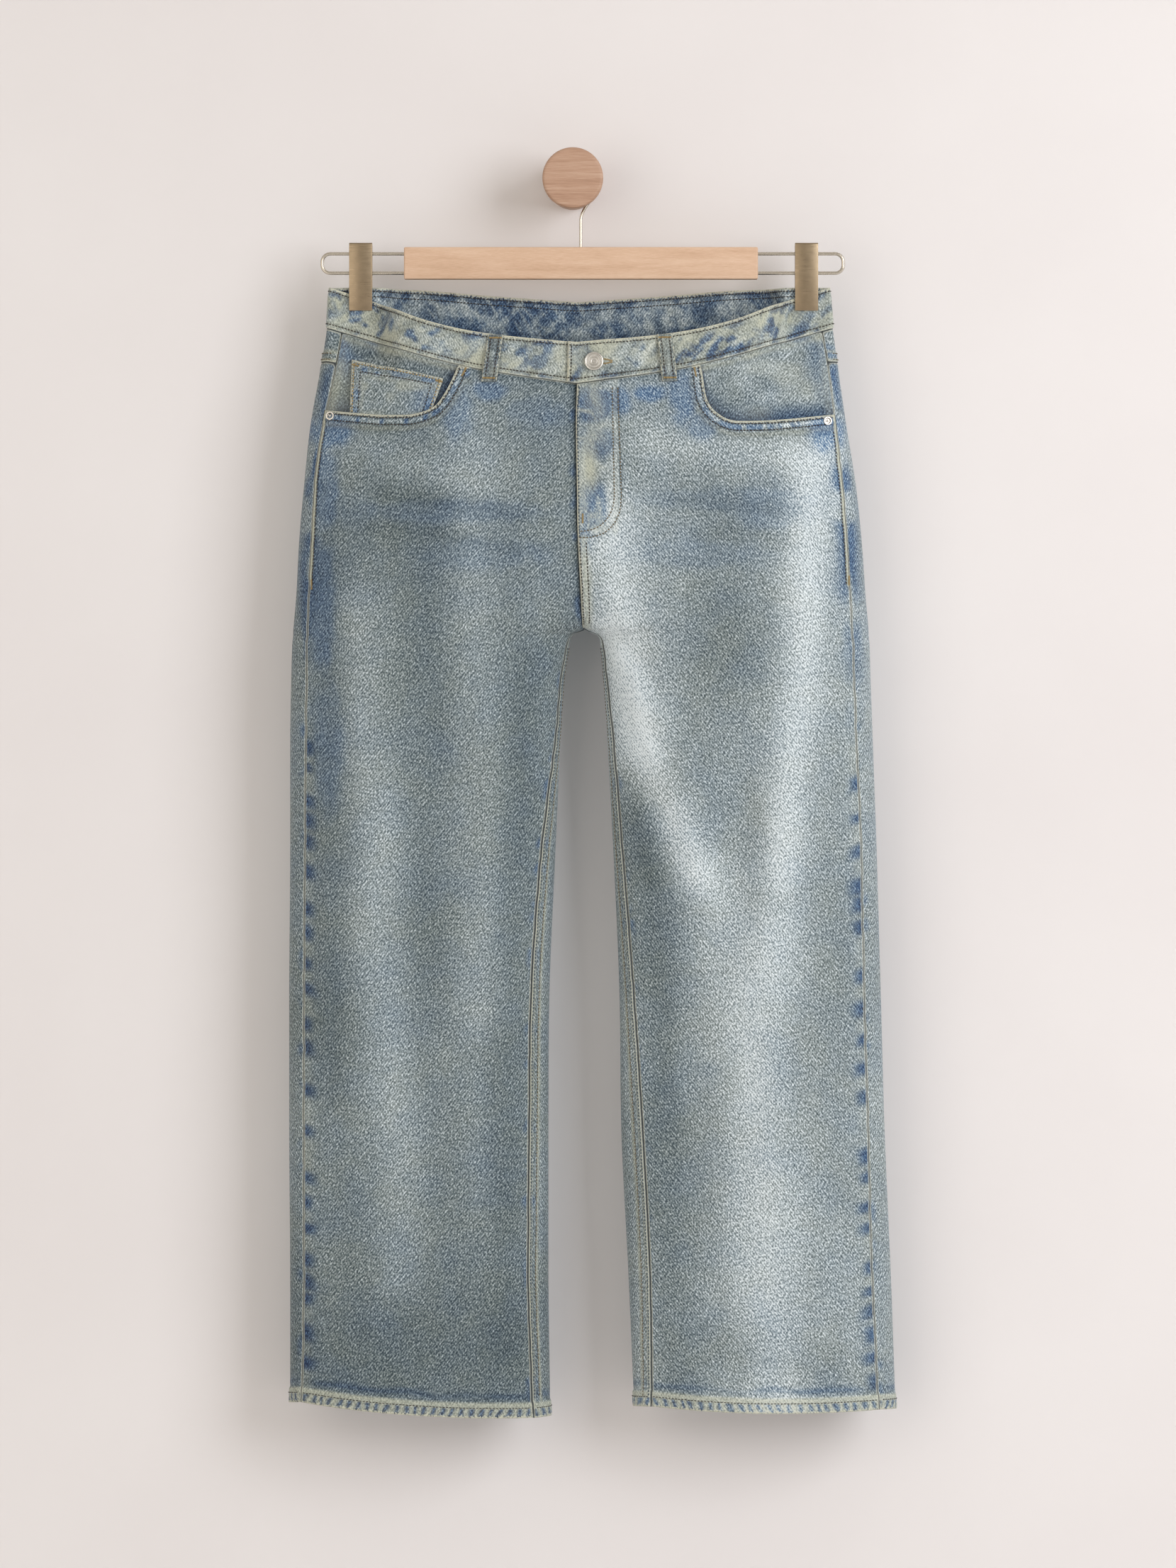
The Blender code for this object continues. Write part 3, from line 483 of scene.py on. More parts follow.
denim = {
    # noises: size across and along the warp in mm, lean in degrees, detail, roughness
    "noises": {
        "grain": (1.8, 2.4, -38.0, 1.0, 0.7),  # pepper and salt of the wash, really 0.8 mm: drawn coarser
        "slub": (1.8, 15.0, 0.0, 2.0, 0.6),  # uneven warp yarns
        "weft": (14.0, 1.9, 0.0, 1.0, 0.5),
        "cloud": (1000 / 62, 1000 / 62, 0.0, 3.0, 0.6),
        "tint": (1000 / 21, 1000 / 21, 0.0, 3.0, 0.55),  # broad patches that stayed bluer or went greener
    },
    # waves: pitch in mm, lean in degrees from upright, distortion, detail, detail scale
    "waves": {
        "twill": (2.4, 38.0, 1.6, 1.0, 1.5),  # the real line is about 1.2 mm, too fine to show: drawn coarser
        "rope": (9.0, 18.0, 5.0, 2.0, 1.2),  # the slanted folds of a hem that was sewn and then washed
    },
    # how much each pattern lightens and darkens the cloth about its middle
    "strength": {"grain": 1.27, "slub": 0.16, "weft": 0.10, "cloud": 0.13, "twill": 0.2},
    "tint": 0.6, "bumpHeight": 0.0004,
    "faded": [(0.0, "#313E44"), (0.3, "#5C696B"), (0.5, "#7F8A8A"), (0.7, "#A1ADB0"), (0.88, "#C7D2D6"),
              (1.0, "#DDE7EA")],
    "blue": [(0.0, "#1B2B47"), (0.35, "#3D5778"), (0.6, "#627F9C"), (0.85, "#9DB1C1"), (1.0, "#C6D3DB")],
    # marks, each laid over the last: mm from the edge or seam where it starts and is full, strength, colour
    "marks": [("edgeRun", 3.0, 1.3, 0.72, "#C4C4B0"),  # cream along a worn edge
              ("seamRun", 2.2, 1.5, 0.5, "#BEC0B0"),  # a pale ridge beside the join
              ("seamRun", 1.1, 0.5, 0.8, "#26323C")],  # the dark line in it: painted shade in the join's groove, with dirt the wash leaves there
}


# Woven cotton twill, stone washed: matt, no gloss, pale yarn ends over indigo, yellower at each edge.
def denimMaterial(name, paler=0.0):
    material, tree = newMaterial(name)
    uv = addNode(tree, "UVMap", uv_map="cloth")
    reads = {key: addNode(tree, "Attribute", attribute_name=key).outputs["Fac"]
             for key in ("fadeAndPaintedLight", "indigo", "cream", "seamRun", "edgeRun", "rope")}
    # the patterns are in metres of cloth
    patterns = {}
    for key, (wide, long, lean, detail, roughness) in denim["noises"].items():
        lay = addNode(tree, "Mapping", {"Vector": uv.outputs[0], "Rotation": (0, 0, math.radians(lean)),
                      "Scale": (1 / (wide * mm), 1 / (long * mm), 1)})
        noise = addNode(tree, "TexNoise", {"Vector": lay.outputs[0], "Scale": 1.0, "Detail": detail,
                        "Roughness": roughness}, noise_dimensions="2D")
        patterns[key] = noise.outputs["Fac"]
    for key, (pitch, lean, bent, detail, detailScale) in denim["waves"].items():
        lay = addNode(tree, "Mapping", {"Vector": uv.outputs[0], "Rotation": (0, 0, math.radians(lean))})
        wave = addNode(tree, "TexWave", {"Vector": lay.outputs[0], "Distortion": bent, "Detail": detail,
                       "Detail Scale": detailScale, "Scale": tau / (20 * pitch * mm)},
                       wave_type="BANDS", bands_direction="X")
        patterns[key] = wave.outputs["Fac"]
    # tone is how pale a yarn is: the wash with its painted highlight and shade, then each pattern about its
    # middle
    tone = reads["fadeAndPaintedLight"]
    for key, amount in denim["strength"].items():
        scaled = addNode(tree, "Math", {0: patterns[key], 1: amount, 2: -amount / 2}, operation="MULTIPLY_ADD")
        tone = addNode(tree, "Math", {0: tone, 1: scaled.outputs[0]}, operation="ADD").outputs[0]
    roped = addNode(tree, "Math", {0: patterns["rope"], 1: reads["rope"]}, operation="MULTIPLY").outputs[0]
    tone = addNode(tree, "Math", {0: roped, 1: -0.22, 2: tone}, operation="MULTIPLY_ADD").outputs[0]
    if paler:
        tone = addNode(tree, "Math", {0: tone, 1: paler}, operation="ADD").outputs[0]
    faded = addNode(tree, "ValToRGB", {"Fac": tone})
    setRamp(faded, denim["faded"])
    blue = addNode(tree, "ValToRGB", {"Fac": tone})
    setRamp(blue, denim["blue"])
    bluer = addNode(tree, "Math", {0: patterns["tint"], 1: denim["tint"], 2: 0.1 - 0.5 * denim["tint"]},
                    operation="MULTIPLY_ADD")
    indigo = addNode(tree, "Math", {0: reads["indigo"], 1: bluer.outputs[0]}, operation="ADD", use_clamp=True)
    indigo = addNode(tree, "Math", {0: roped, 1: 0.8, 2: indigo.outputs[0]}, operation="MULTIPLY_ADD",
                     use_clamp=True)
    body = addNode(tree, "Mix", {0: indigo.outputs[0], 6: faded.outputs[0], 7: blue.outputs[0]},
                   data_type="RGBA")
    # rubbed cream bloom, broken up by the same grain
    rough = addNode(tree, "Math", {0: patterns["grain"], 1: 1.3, 2: 0.30}, operation="MULTIPLY_ADD")
    rubbed = addNode(tree, "Math", {0: roped, 1: -0.5, 2: reads["cream"]}, operation="MULTIPLY_ADD",
                     use_clamp=True)
    bloom = addNode(tree, "Math", {0: rubbed.outputs[0], 1: rough.outputs[0]}, operation="MULTIPLY",
                    use_clamp=True)
    shown = addNode(tree, "Mix", {0: bloom.outputs[0], 6: body.outputs[2], 7: linear("#BABDA8")},
                    data_type="RGBA")
    # the worn edge is broken by the grain too
    wobble = addNode(tree, "Math", {0: rough.outputs[0], 1: -5.0, 2: 4.75}, operation="MULTIPLY_ADD")
    broken = addNode(tree, "Math", {0: reads["edgeRun"], 1: wobble.outputs[0]}, operation="ADD")
    reads["edgeRun"] = broken.outputs[0]
    for key, start, full, most, colour in denim["marks"]:
        mark = addNode(tree, "MapRange", {"Value": reads[key], "From Min": start, "From Max": full,
                       "To Min": 0.0, "To Max": most}, interpolation_type="SMOOTHSTEP")
        shown = addNode(tree, "Mix", {0: mark.outputs[0], 6: shown.outputs[2], 7: linear(colour)},
                        data_type="RGBA")
    height = addNode(tree, "Math", {0: patterns["twill"], 1: 0.5, 2: patterns["grain"]},
                     operation="MULTIPLY_ADD")
    height = addNode(tree, "Math", {0: patterns["slub"], 1: 0.8, 2: height.outputs[0]},
                     operation="MULTIPLY_ADD")
    relief = addNode(tree, "Bump", {"Height": height.outputs[0], "Strength": 0.55,
                     "Distance": denim["bumpHeight"]})
    shader = addNode(tree, "BsdfPrincipled", {"Base Color": shown.outputs[2], "Roughness": 0.88,
                     "Specular IOR Level": 0.22, "Sheen Weight": 0.12, "Sheen Roughness": 0.55,
                     "Normal": relief.outputs[0]})
    addNode(tree, "OutputMaterial", {"Surface": shader.outputs[0]})
    return material


outerDenim = denimMaterial("washed denim twill, outer face")
innerDenim = denimMaterial("washed denim twill, inner face", paler=0.12)
edgeDenim = denimMaterial("washed denim twill, cut edge", paler=0.25)
print("denim ready")


def addObject(name, data):
    made = bpy.data.objects.new(name, data)
    bpy.context.scene.collection.objects.link(made)
    return made


def link(name, mesh, *materials):
    for material in materials:
        mesh.materials.append(material)
    return addObject(name, mesh)


def meshFrom(shape, name):
    mesh = bpy.data.meshes.new(name)
    shape.to_mesh(mesh)
    shape.free()
    return mesh


# turns the faces of a closed shape outwards
def outwards(shape):
    bmesh.ops.recalc_face_normals(shape, faces=shape.faces)
    if shape.calc_volume(signed=True) < 0:
        bmesh.ops.reverse_faces(shape, faces=shape.faces)


def setAttributes(mesh, values):
    for key, value in values.items():
        layer = mesh.attributes.new(key, "FLOAT", "POINT")
        layer.data.foreach_set("value", np.full(len(mesh.vertices), value, np.float32))


def setUv(mesh, uv):
    corners = np.zeros(len(mesh.loops), np.int32)
    mesh.loops.foreach_get("vertex_index", corners)
    layer = mesh.uv_layers.get("cloth") or mesh.uv_layers.new(name="cloth")
    layer.data.foreach_set("uv", uv[corners].astype(np.float32).ravel())


def vectorsOf(mesh, name):
    values = np.zeros(len(mesh.vertices) * 3)
    mesh.vertices.foreach_get(name, values)
    return values.reshape(-1, 3)


# A cloth piece: a flat grid, each point put in place by place(columns, rows), which gives the outer points in
# mm, outward normals, the cloth's own coordinates in mm and the colouring: the wash, with painted highlight
# and shade. Solidify then gives the wall its thickness, unless it is 0 because the grid itself goes round the
# section.
def clothPiece(name, columns, rows, place, thickness):
    flat = bmesh.new()
    bmesh.ops.create_grid(flat, x_segments=columns, y_segments=rows, size=0.5)
    mesh = meshFrom(flat, name)
    grid = vectorsOf(mesh, "co")
    across, up = grid[:, 0] + 0.5, grid[:, 1] + 0.5
    points, normals, uv, colouring = place(np.rint(across * columns), np.rint(up * rows))
    mesh.vertices.foreach_set("co", (points * mm).ravel())
    mesh.update()
    setUv(mesh, uv * mm)
    setAttributes(mesh, colouring)
    if (vectorsOf(mesh, "normal") * normals).sum() < 0:
        mesh.flip_normals()
    mesh.shade_smooth()
    if not thickness:
        return link(name, mesh, outerDenim)
    piece = link(name, mesh, outerDenim, innerDenim, edgeDenim)
    wall = piece.modifiers.new("wall", "SOLIDIFY")
    wall.thickness = thickness * mm
    wall.offset = -1
    wall.material_offset = 1
    wall.material_offset_rim = 2
    return piece


# what place gives the material: how faded, with painted highlight and shade, how blue and rubbed, and the mm
# to the nearest seam and edge
def colouringOf(fadeAndPaintedLight, indigo, cream, seamRun=50.0, edgeRun=50.0, **more):
    return {"fadeAndPaintedLight": fadeAndPaintedLight, "indigo": indigo, "cream": cream, "seamRun": seamRun, "edgeRun": edgeRun, **more}


# where each piece was cut from the bolt, so that no two show the same patch of grain: mm across it
bolt = {"front": 0, "back": 700, "yoke": 1100, "facing": 1500, "coin": 1700, "backPocket": 1900, "band": 2200,
        "loop": 2600}

pockets = {
    left: [(-248, -229), (-187, -235), (-160, -235), (-136, -227), (-125, -213), (-113, -188), (-106, -165)],
    right: [(262, -233), (197, -240), (161, -241), (144, -235), (131, -219), (127, -194), (122, -165)],
}
fly = {"edgeLow": -443.0, "rise": 1.3, "rib": 3.5, "edgeX": 44.0, "footZ": -356.0,
       "stitchOuter": [(44.3, -208), (47.6, -316), (47.3, -324), (45.6, -332), (42.3, -339.5), (37.5, -346),
                       (31.2, -351), (23.8, -354.2), (15.5, -355.8), (5.8, -356)],
       "stitchInner": [(38.8, -208), (40.8, -314), (40.4, -321), (38.8, -328), (35.8, -334.5), (31.6, -340),
                       (26.2, -344.6), (19.8, -347.6), (13, -349.2), (5.8, -349.6)]}
hem = {"height": 15.0, "thick": 1.1, "rope": 9.0, "ropeRise": 0.5, "sag": 4.0, "stitchAt": 9.8,
       "pale": 0.10, "cream": 0.58, "foldAt": 19.0, "foldWide": 3.2, "ropesTo": 10.0,
       left: (-1205.0, -1220.0), right: (-1212.0, -1209.0)}
yokeSeam = {"side": -181.0, "centre": -232.0, "sideX": 245.0}
# mm from the edge or seam to each of two rows of stitches, or from the middle of a belt loop
rowsAt = {"felled": (2.4, 8.6), "mouth": (2.8, 9.4), "backPocket": (2.4, 8.4), "fly": (2.2, 8.2),
          "coin": (2.6, 9.2), "loop": (-3.9, 3.9)}


def scoopHeight(side, x):
    return smoothThrough(pockets[side], 1, x)


def underBand(side, x, z, front):
    return bandEdge(widthShare(side, x, z), front, "Low") - form["seamGap"]


def frontTop(side, x, z, front):
    seam = underBand(side, x, z, front)
    mouth = pockets[side][-1][0]
    return np.where(side * (x - mouth) > 0, np.minimum(seam, scoopHeight(side, x)), seam)


def yokeLow(side, x, z, front):
    away = np.minimum(np.abs(x - centreX(yokeSeam["centre"])) / yokeSeam["sideX"], 1.0)
    return yokeSeam["centre"] + (yokeSeam["side"] - yokeSeam["centre"]) * away


def backTop(side, x, z, front):
    return yokeLow(side, x, z, front) - form["seamGap"]


# a share of a panel's width, kept clear of its neighbours by half a seam gap on each side
def clearOfSeams(share):
    inset = form["seamGap"] / 2 / form["panelWidth"]
    return inset + share * (1 - 2 * inset)


# the height at which each column of a panel meets an edge
def edgeHeights(side, face, shares, edge, start):
    z = np.full(len(shares), float(start))
    for step in range(16):
        angle = angleFor(side, face, z, shares)
        x = skin(side, z, angle)[:, 0]
        z = (z + edge(side, x, z, np.sin(angle) >= 0)) / 2
    return z


# the height of the hem along a leg's front or back
def hemLow(side, share):
    outer, inner = hem[side]
    return outer + (inner - outer) * share - hem["sag"] * np.sin(pi * share)


# Puckers that a chain of stitches pulls into the cloth: irregular along the seam, gone this far from it.
def puckers(run, distance, seed, reach=9.0, spacing=13.0, lean=0.5):
    wave = hills((run + lean * distance) / spacing, distance / 30, seed)
    wave = wave * 0.7 + hills((run - lean * distance) / (spacing * 0.55), distance / 20, seed + 3) * 0.3
    return (wave - 0.5) * 2 * near(distance, reach)


# rows of the grid: some over the hem, the rest evenly up to the bend, and then up to the panel's top edge
panelGrid = {"hemRows": 16, "hemTop": 22.0, "bendRows": 300, "bendZ": -264.0, "startZ": -205.0}


def legPanel(name, side, face, columns, topRows, topEdge):
    shares = np.linspace(0, 1, columns + 1)
    tops = edgeHeights(side, face, clearOfSeams(shares), topEdge, panelGrid["startZ"])
    hemRows, hemTop, bendRows, bendZ = [panelGrid[key] for key in ("hemRows", "hemTop", "bendRows", "bendZ")]
    topLine = np.stack([shares * np.interp(tops, tableHeights, widthTables[side, face]), tops], 1)
    crotchZ, tackZ, mouth = form["crotchZ"], form["hipTackZ"], pockets[side][-1][0]

    def place(column, row):
        share = column / columns
        column = column.astype(int)
        low = hemLow(side, share)
        belowBend = low + hemTop + (bendZ - low - hemTop) * (row - hemRows) / (bendRows - hemRows)
        aboveBend = bendZ + (tops[column] - bendZ) * (row - bendRows) / topRows
        z = np.where(row <= bendRows, belowBend, aboveBend)
        z = np.where(row <= hemRows, low + hemTop * row / hemRows, z)
        angle = angleFor(side, face, z, clearOfSeams(share))
        x = skin(side, z, angle)[:, 0]
        front = np.sin(angle) >= 0
        width = panelWidth(side, face, z)
        fromOut, fromIn, fromHem = share * width, (1 - share) * width, z - low
        fromTop, topRuns = np.full(len(z), 1e3), np.zeros(len(z))
        upper = z > bendZ - 60
        fromTop[upper], topRuns[upper] = lineDistance(fromOut[upper], z[upper], topLine)
        fadeAndPaintedLight, indigo = washAndPaintedLight(side, front, x, z)
        cream, relief = np.zeros(len(z)), np.zeros(len(z))
        # every seam: a low swell beside it, pulled in by its stitches
        outPuckers = puckers(z, fromOut, 60 + side)
        inPuckers = puckers(z, fromIn, 70 + side, 8.0, 12.0)
        relief += outPuckers + np.where(z < crotchZ, 0.75 * inPuckers, 0.3 * inPuckers)
        relief += 0.6 * puckers(topRuns, fromTop, 80 + side, 8.0, 11.0)
        # hem: turned up twice, roped by its stitches
        roping = np.sin(tau * (fromOut + 0.9 * fromHem) / hem["rope"] + 3 * hills(fromOut / 40, 0.3, 90))
        inHem = ease((hem["height"] - fromHem) / 2.5 + 0.5)
        relief += inHem * (hem["thick"] + hem["ropeRise"] * roping * near(fromHem - 4, 6))
        relief += 0.7 * puckers(fromOut, fromHem - hem["height"], 91 + side, 8.0, 10.0, 1.2) * (1 - inHem)
        # the wash: high places pale, low places blue
        fadeAndPaintedLight = fadeAndPaintedLight + 0.05 * relief * (1 - inHem)
        gathered = np.zeros(len(z))
        for index, height in enumerate(gathers[side]):
            deep = 4.6 + 4.4 * hillHeights[5, index]
            gathered = np.maximum(gathered, near(z + 0.25 * fromOut - height, deep))
        reach = 9 + 14 * hills(z / 17, 0.4, 94 + side)
        if face == "front":
            blot = ease(gathered * 1.3) * (1 - ease((fromOut - 2) / reach))
            indigo = np.maximum(indigo, 0.85 * blot)
            fadeAndPaintedLight = fadeAndPaintedLight - 0.24 * blot
            cream = np.maximum(cream, 0.12 * (1 - gathered) * near(fromOut - 5, 6) * (z < -560))
        else:
            indigo = np.maximum(indigo, 0.5 * ease(-outPuckers * 1.9 - 0.12) * near(fromOut - 4, 6))
        relief -= 0.7 * gathered * near(fromOut - 4, 6)
        indigo = np.maximum(indigo, 0.7 * ease(-inPuckers * 1.8 - 0.1) * near(fromIn - 5, 6))
        hip = ease((z + 620) / 300) * ease((-150 - z) / 30)
        hipPatch = ease((hills(z / 26, fromOut / 16, 95 + side) - 0.40) * 3.2) * near(fromOut, 15)
        indigo = np.maximum(indigo, 0.95 * hip * hipPatch)
        fadeAndPaintedLight = fadeAndPaintedLight - 0.13 * hip * hipPatch + 0.10 * hip * near(fromOut, 18) * (1 - hipPatch)
        lowHem = inHem * ease((hem["ropesTo"] - fromHem) / 1.5)
        cream = np.maximum(cream, inHem * hem["cream"])
        indigo = indigo * (1 - inHem)
        fadeAndPaintedLight = fadeAndPaintedLight + hem["pale"] * inHem
        # the cloth just above the hem folded over it in the wash
        foldAt = hem["foldAt"] + 5 * hills(fromOut / 30, 0.2, 93)
        creased = near(fromHem - foldAt, hem["foldWide"]) * (1 - inHem) * hills(fromOut / 34, 0.7, 92)
        indigo = np.maximum(indigo, 0.6 * creased)
        fadeAndPaintedLight = fadeAndPaintedLight - 0.16 * creased
        if face == "front":  # a stitched ridge to the bar tack, only the folded edge below it
            cream = np.maximum(cream, 0.9 * (1 - ease(fromOut - 2.3)) * (z > tackZ))
            # the darker line at the stitches is painted shade in their groove, with dirt
            fadeAndPaintedLight = fadeAndPaintedLight - 0.22 * near(fromOut - 4.6, 1.2) * (z > tackZ)
        # seamRun below 1.1 mm draws the dark line of painted shade at the outseam, with dirt
        seamRun = fromOut
        edgeRun = np.minimum(fromHem + 0.6, 50.0)
        if face == "front":
            # inner edge: the fly laps from the viewer's right over the left
            flyRun = ease((z - fly["edgeLow"]) / 20) * ease((-150 - z) / 4)
            if side == right:
                relief += flyRun * fly["rise"] * ease((3 * fly["rib"] - fromIn) / (2 * fly["rib"]))
                edgeRun = np.minimum(edgeRun, np.where(z > fly["edgeLow"], fromIn + 0.4, 50))
                away, run = lineDistance(x, z, fly["stitchOuter"])
                relief += -0.45 * near(away, 2.2) + 0.5 * puckers(run, away, 101, 6.0, 9.0)
                inFly = (1 - ease((x - fly["edgeX"]) / 3)) * ease((z - fly["footZ"]) / 8)
                relief += 0.35 * inFly
                cream = np.maximum(cream, 0.75 * inFly * near(x - 16, 9) * near(z + 286, 24))
                streak = veins((x + 0.12 * z) / 9, z / 26, 103, 6.0) * inFly
                cream = np.maximum(cream, 0.5 * streak * near(x - 16, 18))
                fadeAndPaintedLight = fadeAndPaintedLight + 0.12 * streak - 0.22 * inFly * indigo - 0.02 * inFly
                # darker along the J stitches: painted shade in their groove, with dirt
                fadeAndPaintedLight = fadeAndPaintedLight - 0.16 * near(away, 1.6)
                cream = np.maximum(cream, 0.22 * near(x - 42, 4) * inFly)
                doubleRows = (1 - ease((z - fly["footZ"]) / 6)) * (z > crotchZ)
                cream = np.maximum(cream, 0.5 * near(fromIn - 6, 5) * doubleRows)
                relief += 0.6 * near(fromIn - 5, 4) * doubleRows
            else:
                # the left panel dips beside the fly's edge and is darkened there: the darkening is painted
                # shadow of the lapped edge
                relief += -0.9 * flyRun * near(fromIn, 6)
                fadeAndPaintedLight = fadeAndPaintedLight - 0.22 * flyRun * near(fromIn, 5)
            seamRun = np.minimum(seamRun, np.where(z < crotchZ, fromIn, 50.0))
            # pocket opening: a doubled edge with two rows of stitches, frayed pale at its lip
            alongScoop = ease((side * (x - mouth) + 12) / 12)
            lip = alongScoop * (1 - ease((fromTop - 11) / 3))
            relief += 0.9 * lip + 0.35 * puckers(topRuns, fromTop - 6, 105 + side, 6.0, 8.0, 0.9) * alongScoop
            edgeRun = np.minimum(edgeRun, np.where(alongScoop > 0.5, fromTop, 50))
            ladder = ease((hills(topRuns / 4.0, fromTop / 30, 107 + side) - 0.50) * 5)
            indigo = np.maximum(indigo, 0.8 * ladder * near(fromTop - 6.5, 3.5) * alongScoop)
            # the stitch rows and the foot of the doubled edge are darkened: painted shade in the rows'
            # grooves, with dirt, and painted shadow under the edge's step
            lipRows = sum(near(fromTop - away, 1.2) for away in rowsAt["mouth"])
            fadeAndPaintedLight = fadeAndPaintedLight - 0.2 * lipRows * alongScoop - 0.12 * near(fromTop - 14, 4) * alongScoop
            fadeAndPaintedLight = fadeAndPaintedLight + 0.16 * (1 - ladder) * near(fromTop - 6.2, 2.6) * alongScoop
            cream = np.maximum(cream, 0.18 * near(fromTop - 13, 3) * alongScoop)
            # under the waistband the dark line and the darker strip below it are painted shadow of the band's
            # edge
            seamRun = np.minimum(seamRun, np.where(alongScoop > 0.5, 50, fromTop * 1.9 + 0.1))
            fadeAndPaintedLight = fadeAndPaintedLight - 0.14 * near(fromTop, 4) * (1 - alongScoop)
            # double stitch and bulk beside the outseam, down to its bar tack
            relief += 0.35 * ease((z - tackZ) / 10) * near(fromOut - 4, 5)
        else:
            # seamRun below 1.1 mm draws the dark line of painted shade at the inseam and under the yoke, with
            # dirt
            seamRun = np.minimum(seamRun + 0.9, np.where(z < crotchZ, fromIn + 0.4, fromIn + 0.2))
            seamRun = np.minimum(seamRun, fromTop + 0.4)
            # the felled inseam stands up on the back panel, with two rows of stitches
            fell = ease((crotchZ - z) / 20)
            relief += fell * 0.9 * (1 - ease((fromIn - 9) / 2.5))
            cream = np.maximum(cream, fell * 0.55 * near(fromIn - 1.6, 2.0))
            uneven = 0.6 + 0.6 * hills(z / 20, 0.1, 111)
            cream = np.maximum(cream, fell * 0.6 * near(fromIn - 10.5, 1.8) * uneven)
            fadeAndPaintedLight = fadeAndPaintedLight + fell * 0.08 * near(fromIn - 14, 5)
            relief += 0.5 * near(fromTop - 5, 4) + (1 - fell) * 0.5 * near(fromIn - 5, 4)
        points, normals = proud(side, z, angle, relief)
        uv = np.stack([fromOut + bolt[face] + side * 211, z], 1)
        return points, normals, uv, colouringOf(fadeAndPaintedLight, indigo, cream, seamRun, edgeRun, rope=lowHem)

    return clothPiece(name, columns, bendRows + topRows, place, form["cloth"])


panels = {}
for side, word in sideWords.items():
    panels["front", side] = legPanel("cloth_front_" + word, side, "front", 124, 40, frontTop)
    panels["back", side] = legPanel("cloth_back_" + word, side, "back", 136, 20, backTop)
print("leg panels ready")


def yokePiece(name, side):
    columns, rows = 110, 24
    shares = clearOfSeams(np.linspace(0, 1, columns + 1))
    lows = edgeHeights(side, "back", shares, yokeLow, -205.0)
    tops = edgeHeights(side, "back", shares, underBand, -150.0)

    def place(column, row):
        share = column / columns
        column = column.astype(int)
        z = lows[column] + (tops[column] - lows[column]) * row / rows
        angle = angleFor(side, "back", z, clearOfSeams(share))
        x = skin(side, z, angle)[:, 0]
        width = panelWidth(side, "back", z)
        fromOut, fromIn = share * width, (1 - share) * width
        fromLow, fromTop = z - lows[column], tops[column] - z
        fadeAndPaintedLight, indigo = washAndPaintedLight(side, np.sin(angle) >= 0, x, z)
        relief = 0.45 * puckers(fromOut, fromLow, 120 + side, 8, 11)
        relief += 0.35 * puckers(fromOut, fromTop, 123 + side, 8, 11)
        relief += 0.7 * (1 - ease((fromLow - 9) / 2.5))  # the felled seam lies up on the yoke
        patch = ease((hills(fromOut / 22, z / 15, 125 + side) - 0.42) * 3)
        indigo = np.maximum(indigo, 0.75 * patch * np.maximum(near(fromTop, 9), near(fromOut, 16)))
        cream = 0.6 * near(fromLow - 1.5, 2) + 0.4 * near(fromLow - 10.5, 2)
        points, normals = proud(side, z, angle, relief)
        # seamRun below 1.1 mm draws the dark line of painted shade at the yoke's seams, with dirt
        seamRun = np.minimum(np.minimum(fromLow, fromIn) + 0.3, np.minimum(fromOut + 0.9, fromTop * 0.8 + 0.1))
        uv = np.stack([fromOut + bolt["yoke"], z + side * 90], 1)
        return points, normals, uv, colouringOf(fadeAndPaintedLight, indigo, cream, seamRun)

    return clothPiece(name, columns, rows, place, form["cloth"])


facing = {"near": -4.8, "far": -6.0, "underlap": 9.0, "share": 0.7}


def facingPiece(name, side):
    columns, rows = 66, 36
    mouth = pockets[side][-1][0]
    end = mouth - side * facing["underlap"]

    def place(column, row):
        share = column / columns
        topZ = bandEdge(facing["share"], True, "Low")
        outer = halfRow(side, topZ)["seam"]
        x = outer + (end - outer) * share
        top = underBand(side, x, topZ, True)
        low = np.where(side * (x - mouth) > 0, scoopHeight(side, x), top) - facing["underlap"]
        low = np.minimum(low, top - 2 * facing["underlap"])
        z = low + (top - low) * row / rows
        seam = halfRow(side, z)["seam"] - side * 0.4
        x = seam + (x - outer) * (end - seam) / (end - outer)
        fadeAndPaintedLight, indigo = washAndPaintedLight(side, True, x, z)
        # darker towards the bottom, under the pocket's lip: painted shade of the lip
        fadeAndPaintedLight = fadeAndPaintedLight - (0.05 if side == right else 0.07) - 0.12 * near(z - low, 18)
        fromSide, fromTop = np.abs(x - seam), top - z
        relief = 0.3 * puckers(x, fromTop, 130 + side, 10, 10)
        patch = ease((hills(x / 18, z / 20, 133 + side) - 0.5) * 3)
        indigo = np.maximum(indigo * 0.4, 0.8 * patch * np.maximum(near(fromTop, 7), near(fromSide, 16)))
        # darker and bluer just under the lip: painted shade of the lip, with indigo kept there
        underLip = near(z - low - facing["underlap"] + 2, 15)
        indigo = np.maximum(indigo, 0.75 * underLip)
        fadeAndPaintedLight = fadeAndPaintedLight - 0.2 * underLip + 0.10 * ease((hills(x / 22, z / 16, 136) - 0.4) * 3) * (1 - underLip)
        cream = 0.2 * near(fromSide - 4, 4) + 0.3 * near(fromTop - 4, 3)
        cream += 0.22 * ease(hills(x / 30, z / 22, 135) * 2 - 0.8)
        # sewn in at the outseam and the waistband, it comes up to them
        sunk = np.minimum(ease((fromSide - 1) / 15), ease((fromTop - 1) / 13))
        points, normals = frontPoint(side, x, z, -0.4 + (facing["near"] + 0.4) * sunk + relief * sunk)
        # seamRun below 1.1 mm draws the dark line of painted shade under the waistband
        seamRun = np.minimum(fromSide + 1.0, fromTop * 1.9 + 0.1)
        uv = np.stack([x + bolt["facing"], z], 1)
        return points, normals, uv, colouringOf(fadeAndPaintedLight, indigo, cream, seamRun)

    return clothPiece(name, columns, rows, place, facing["near"] - facing["far"])


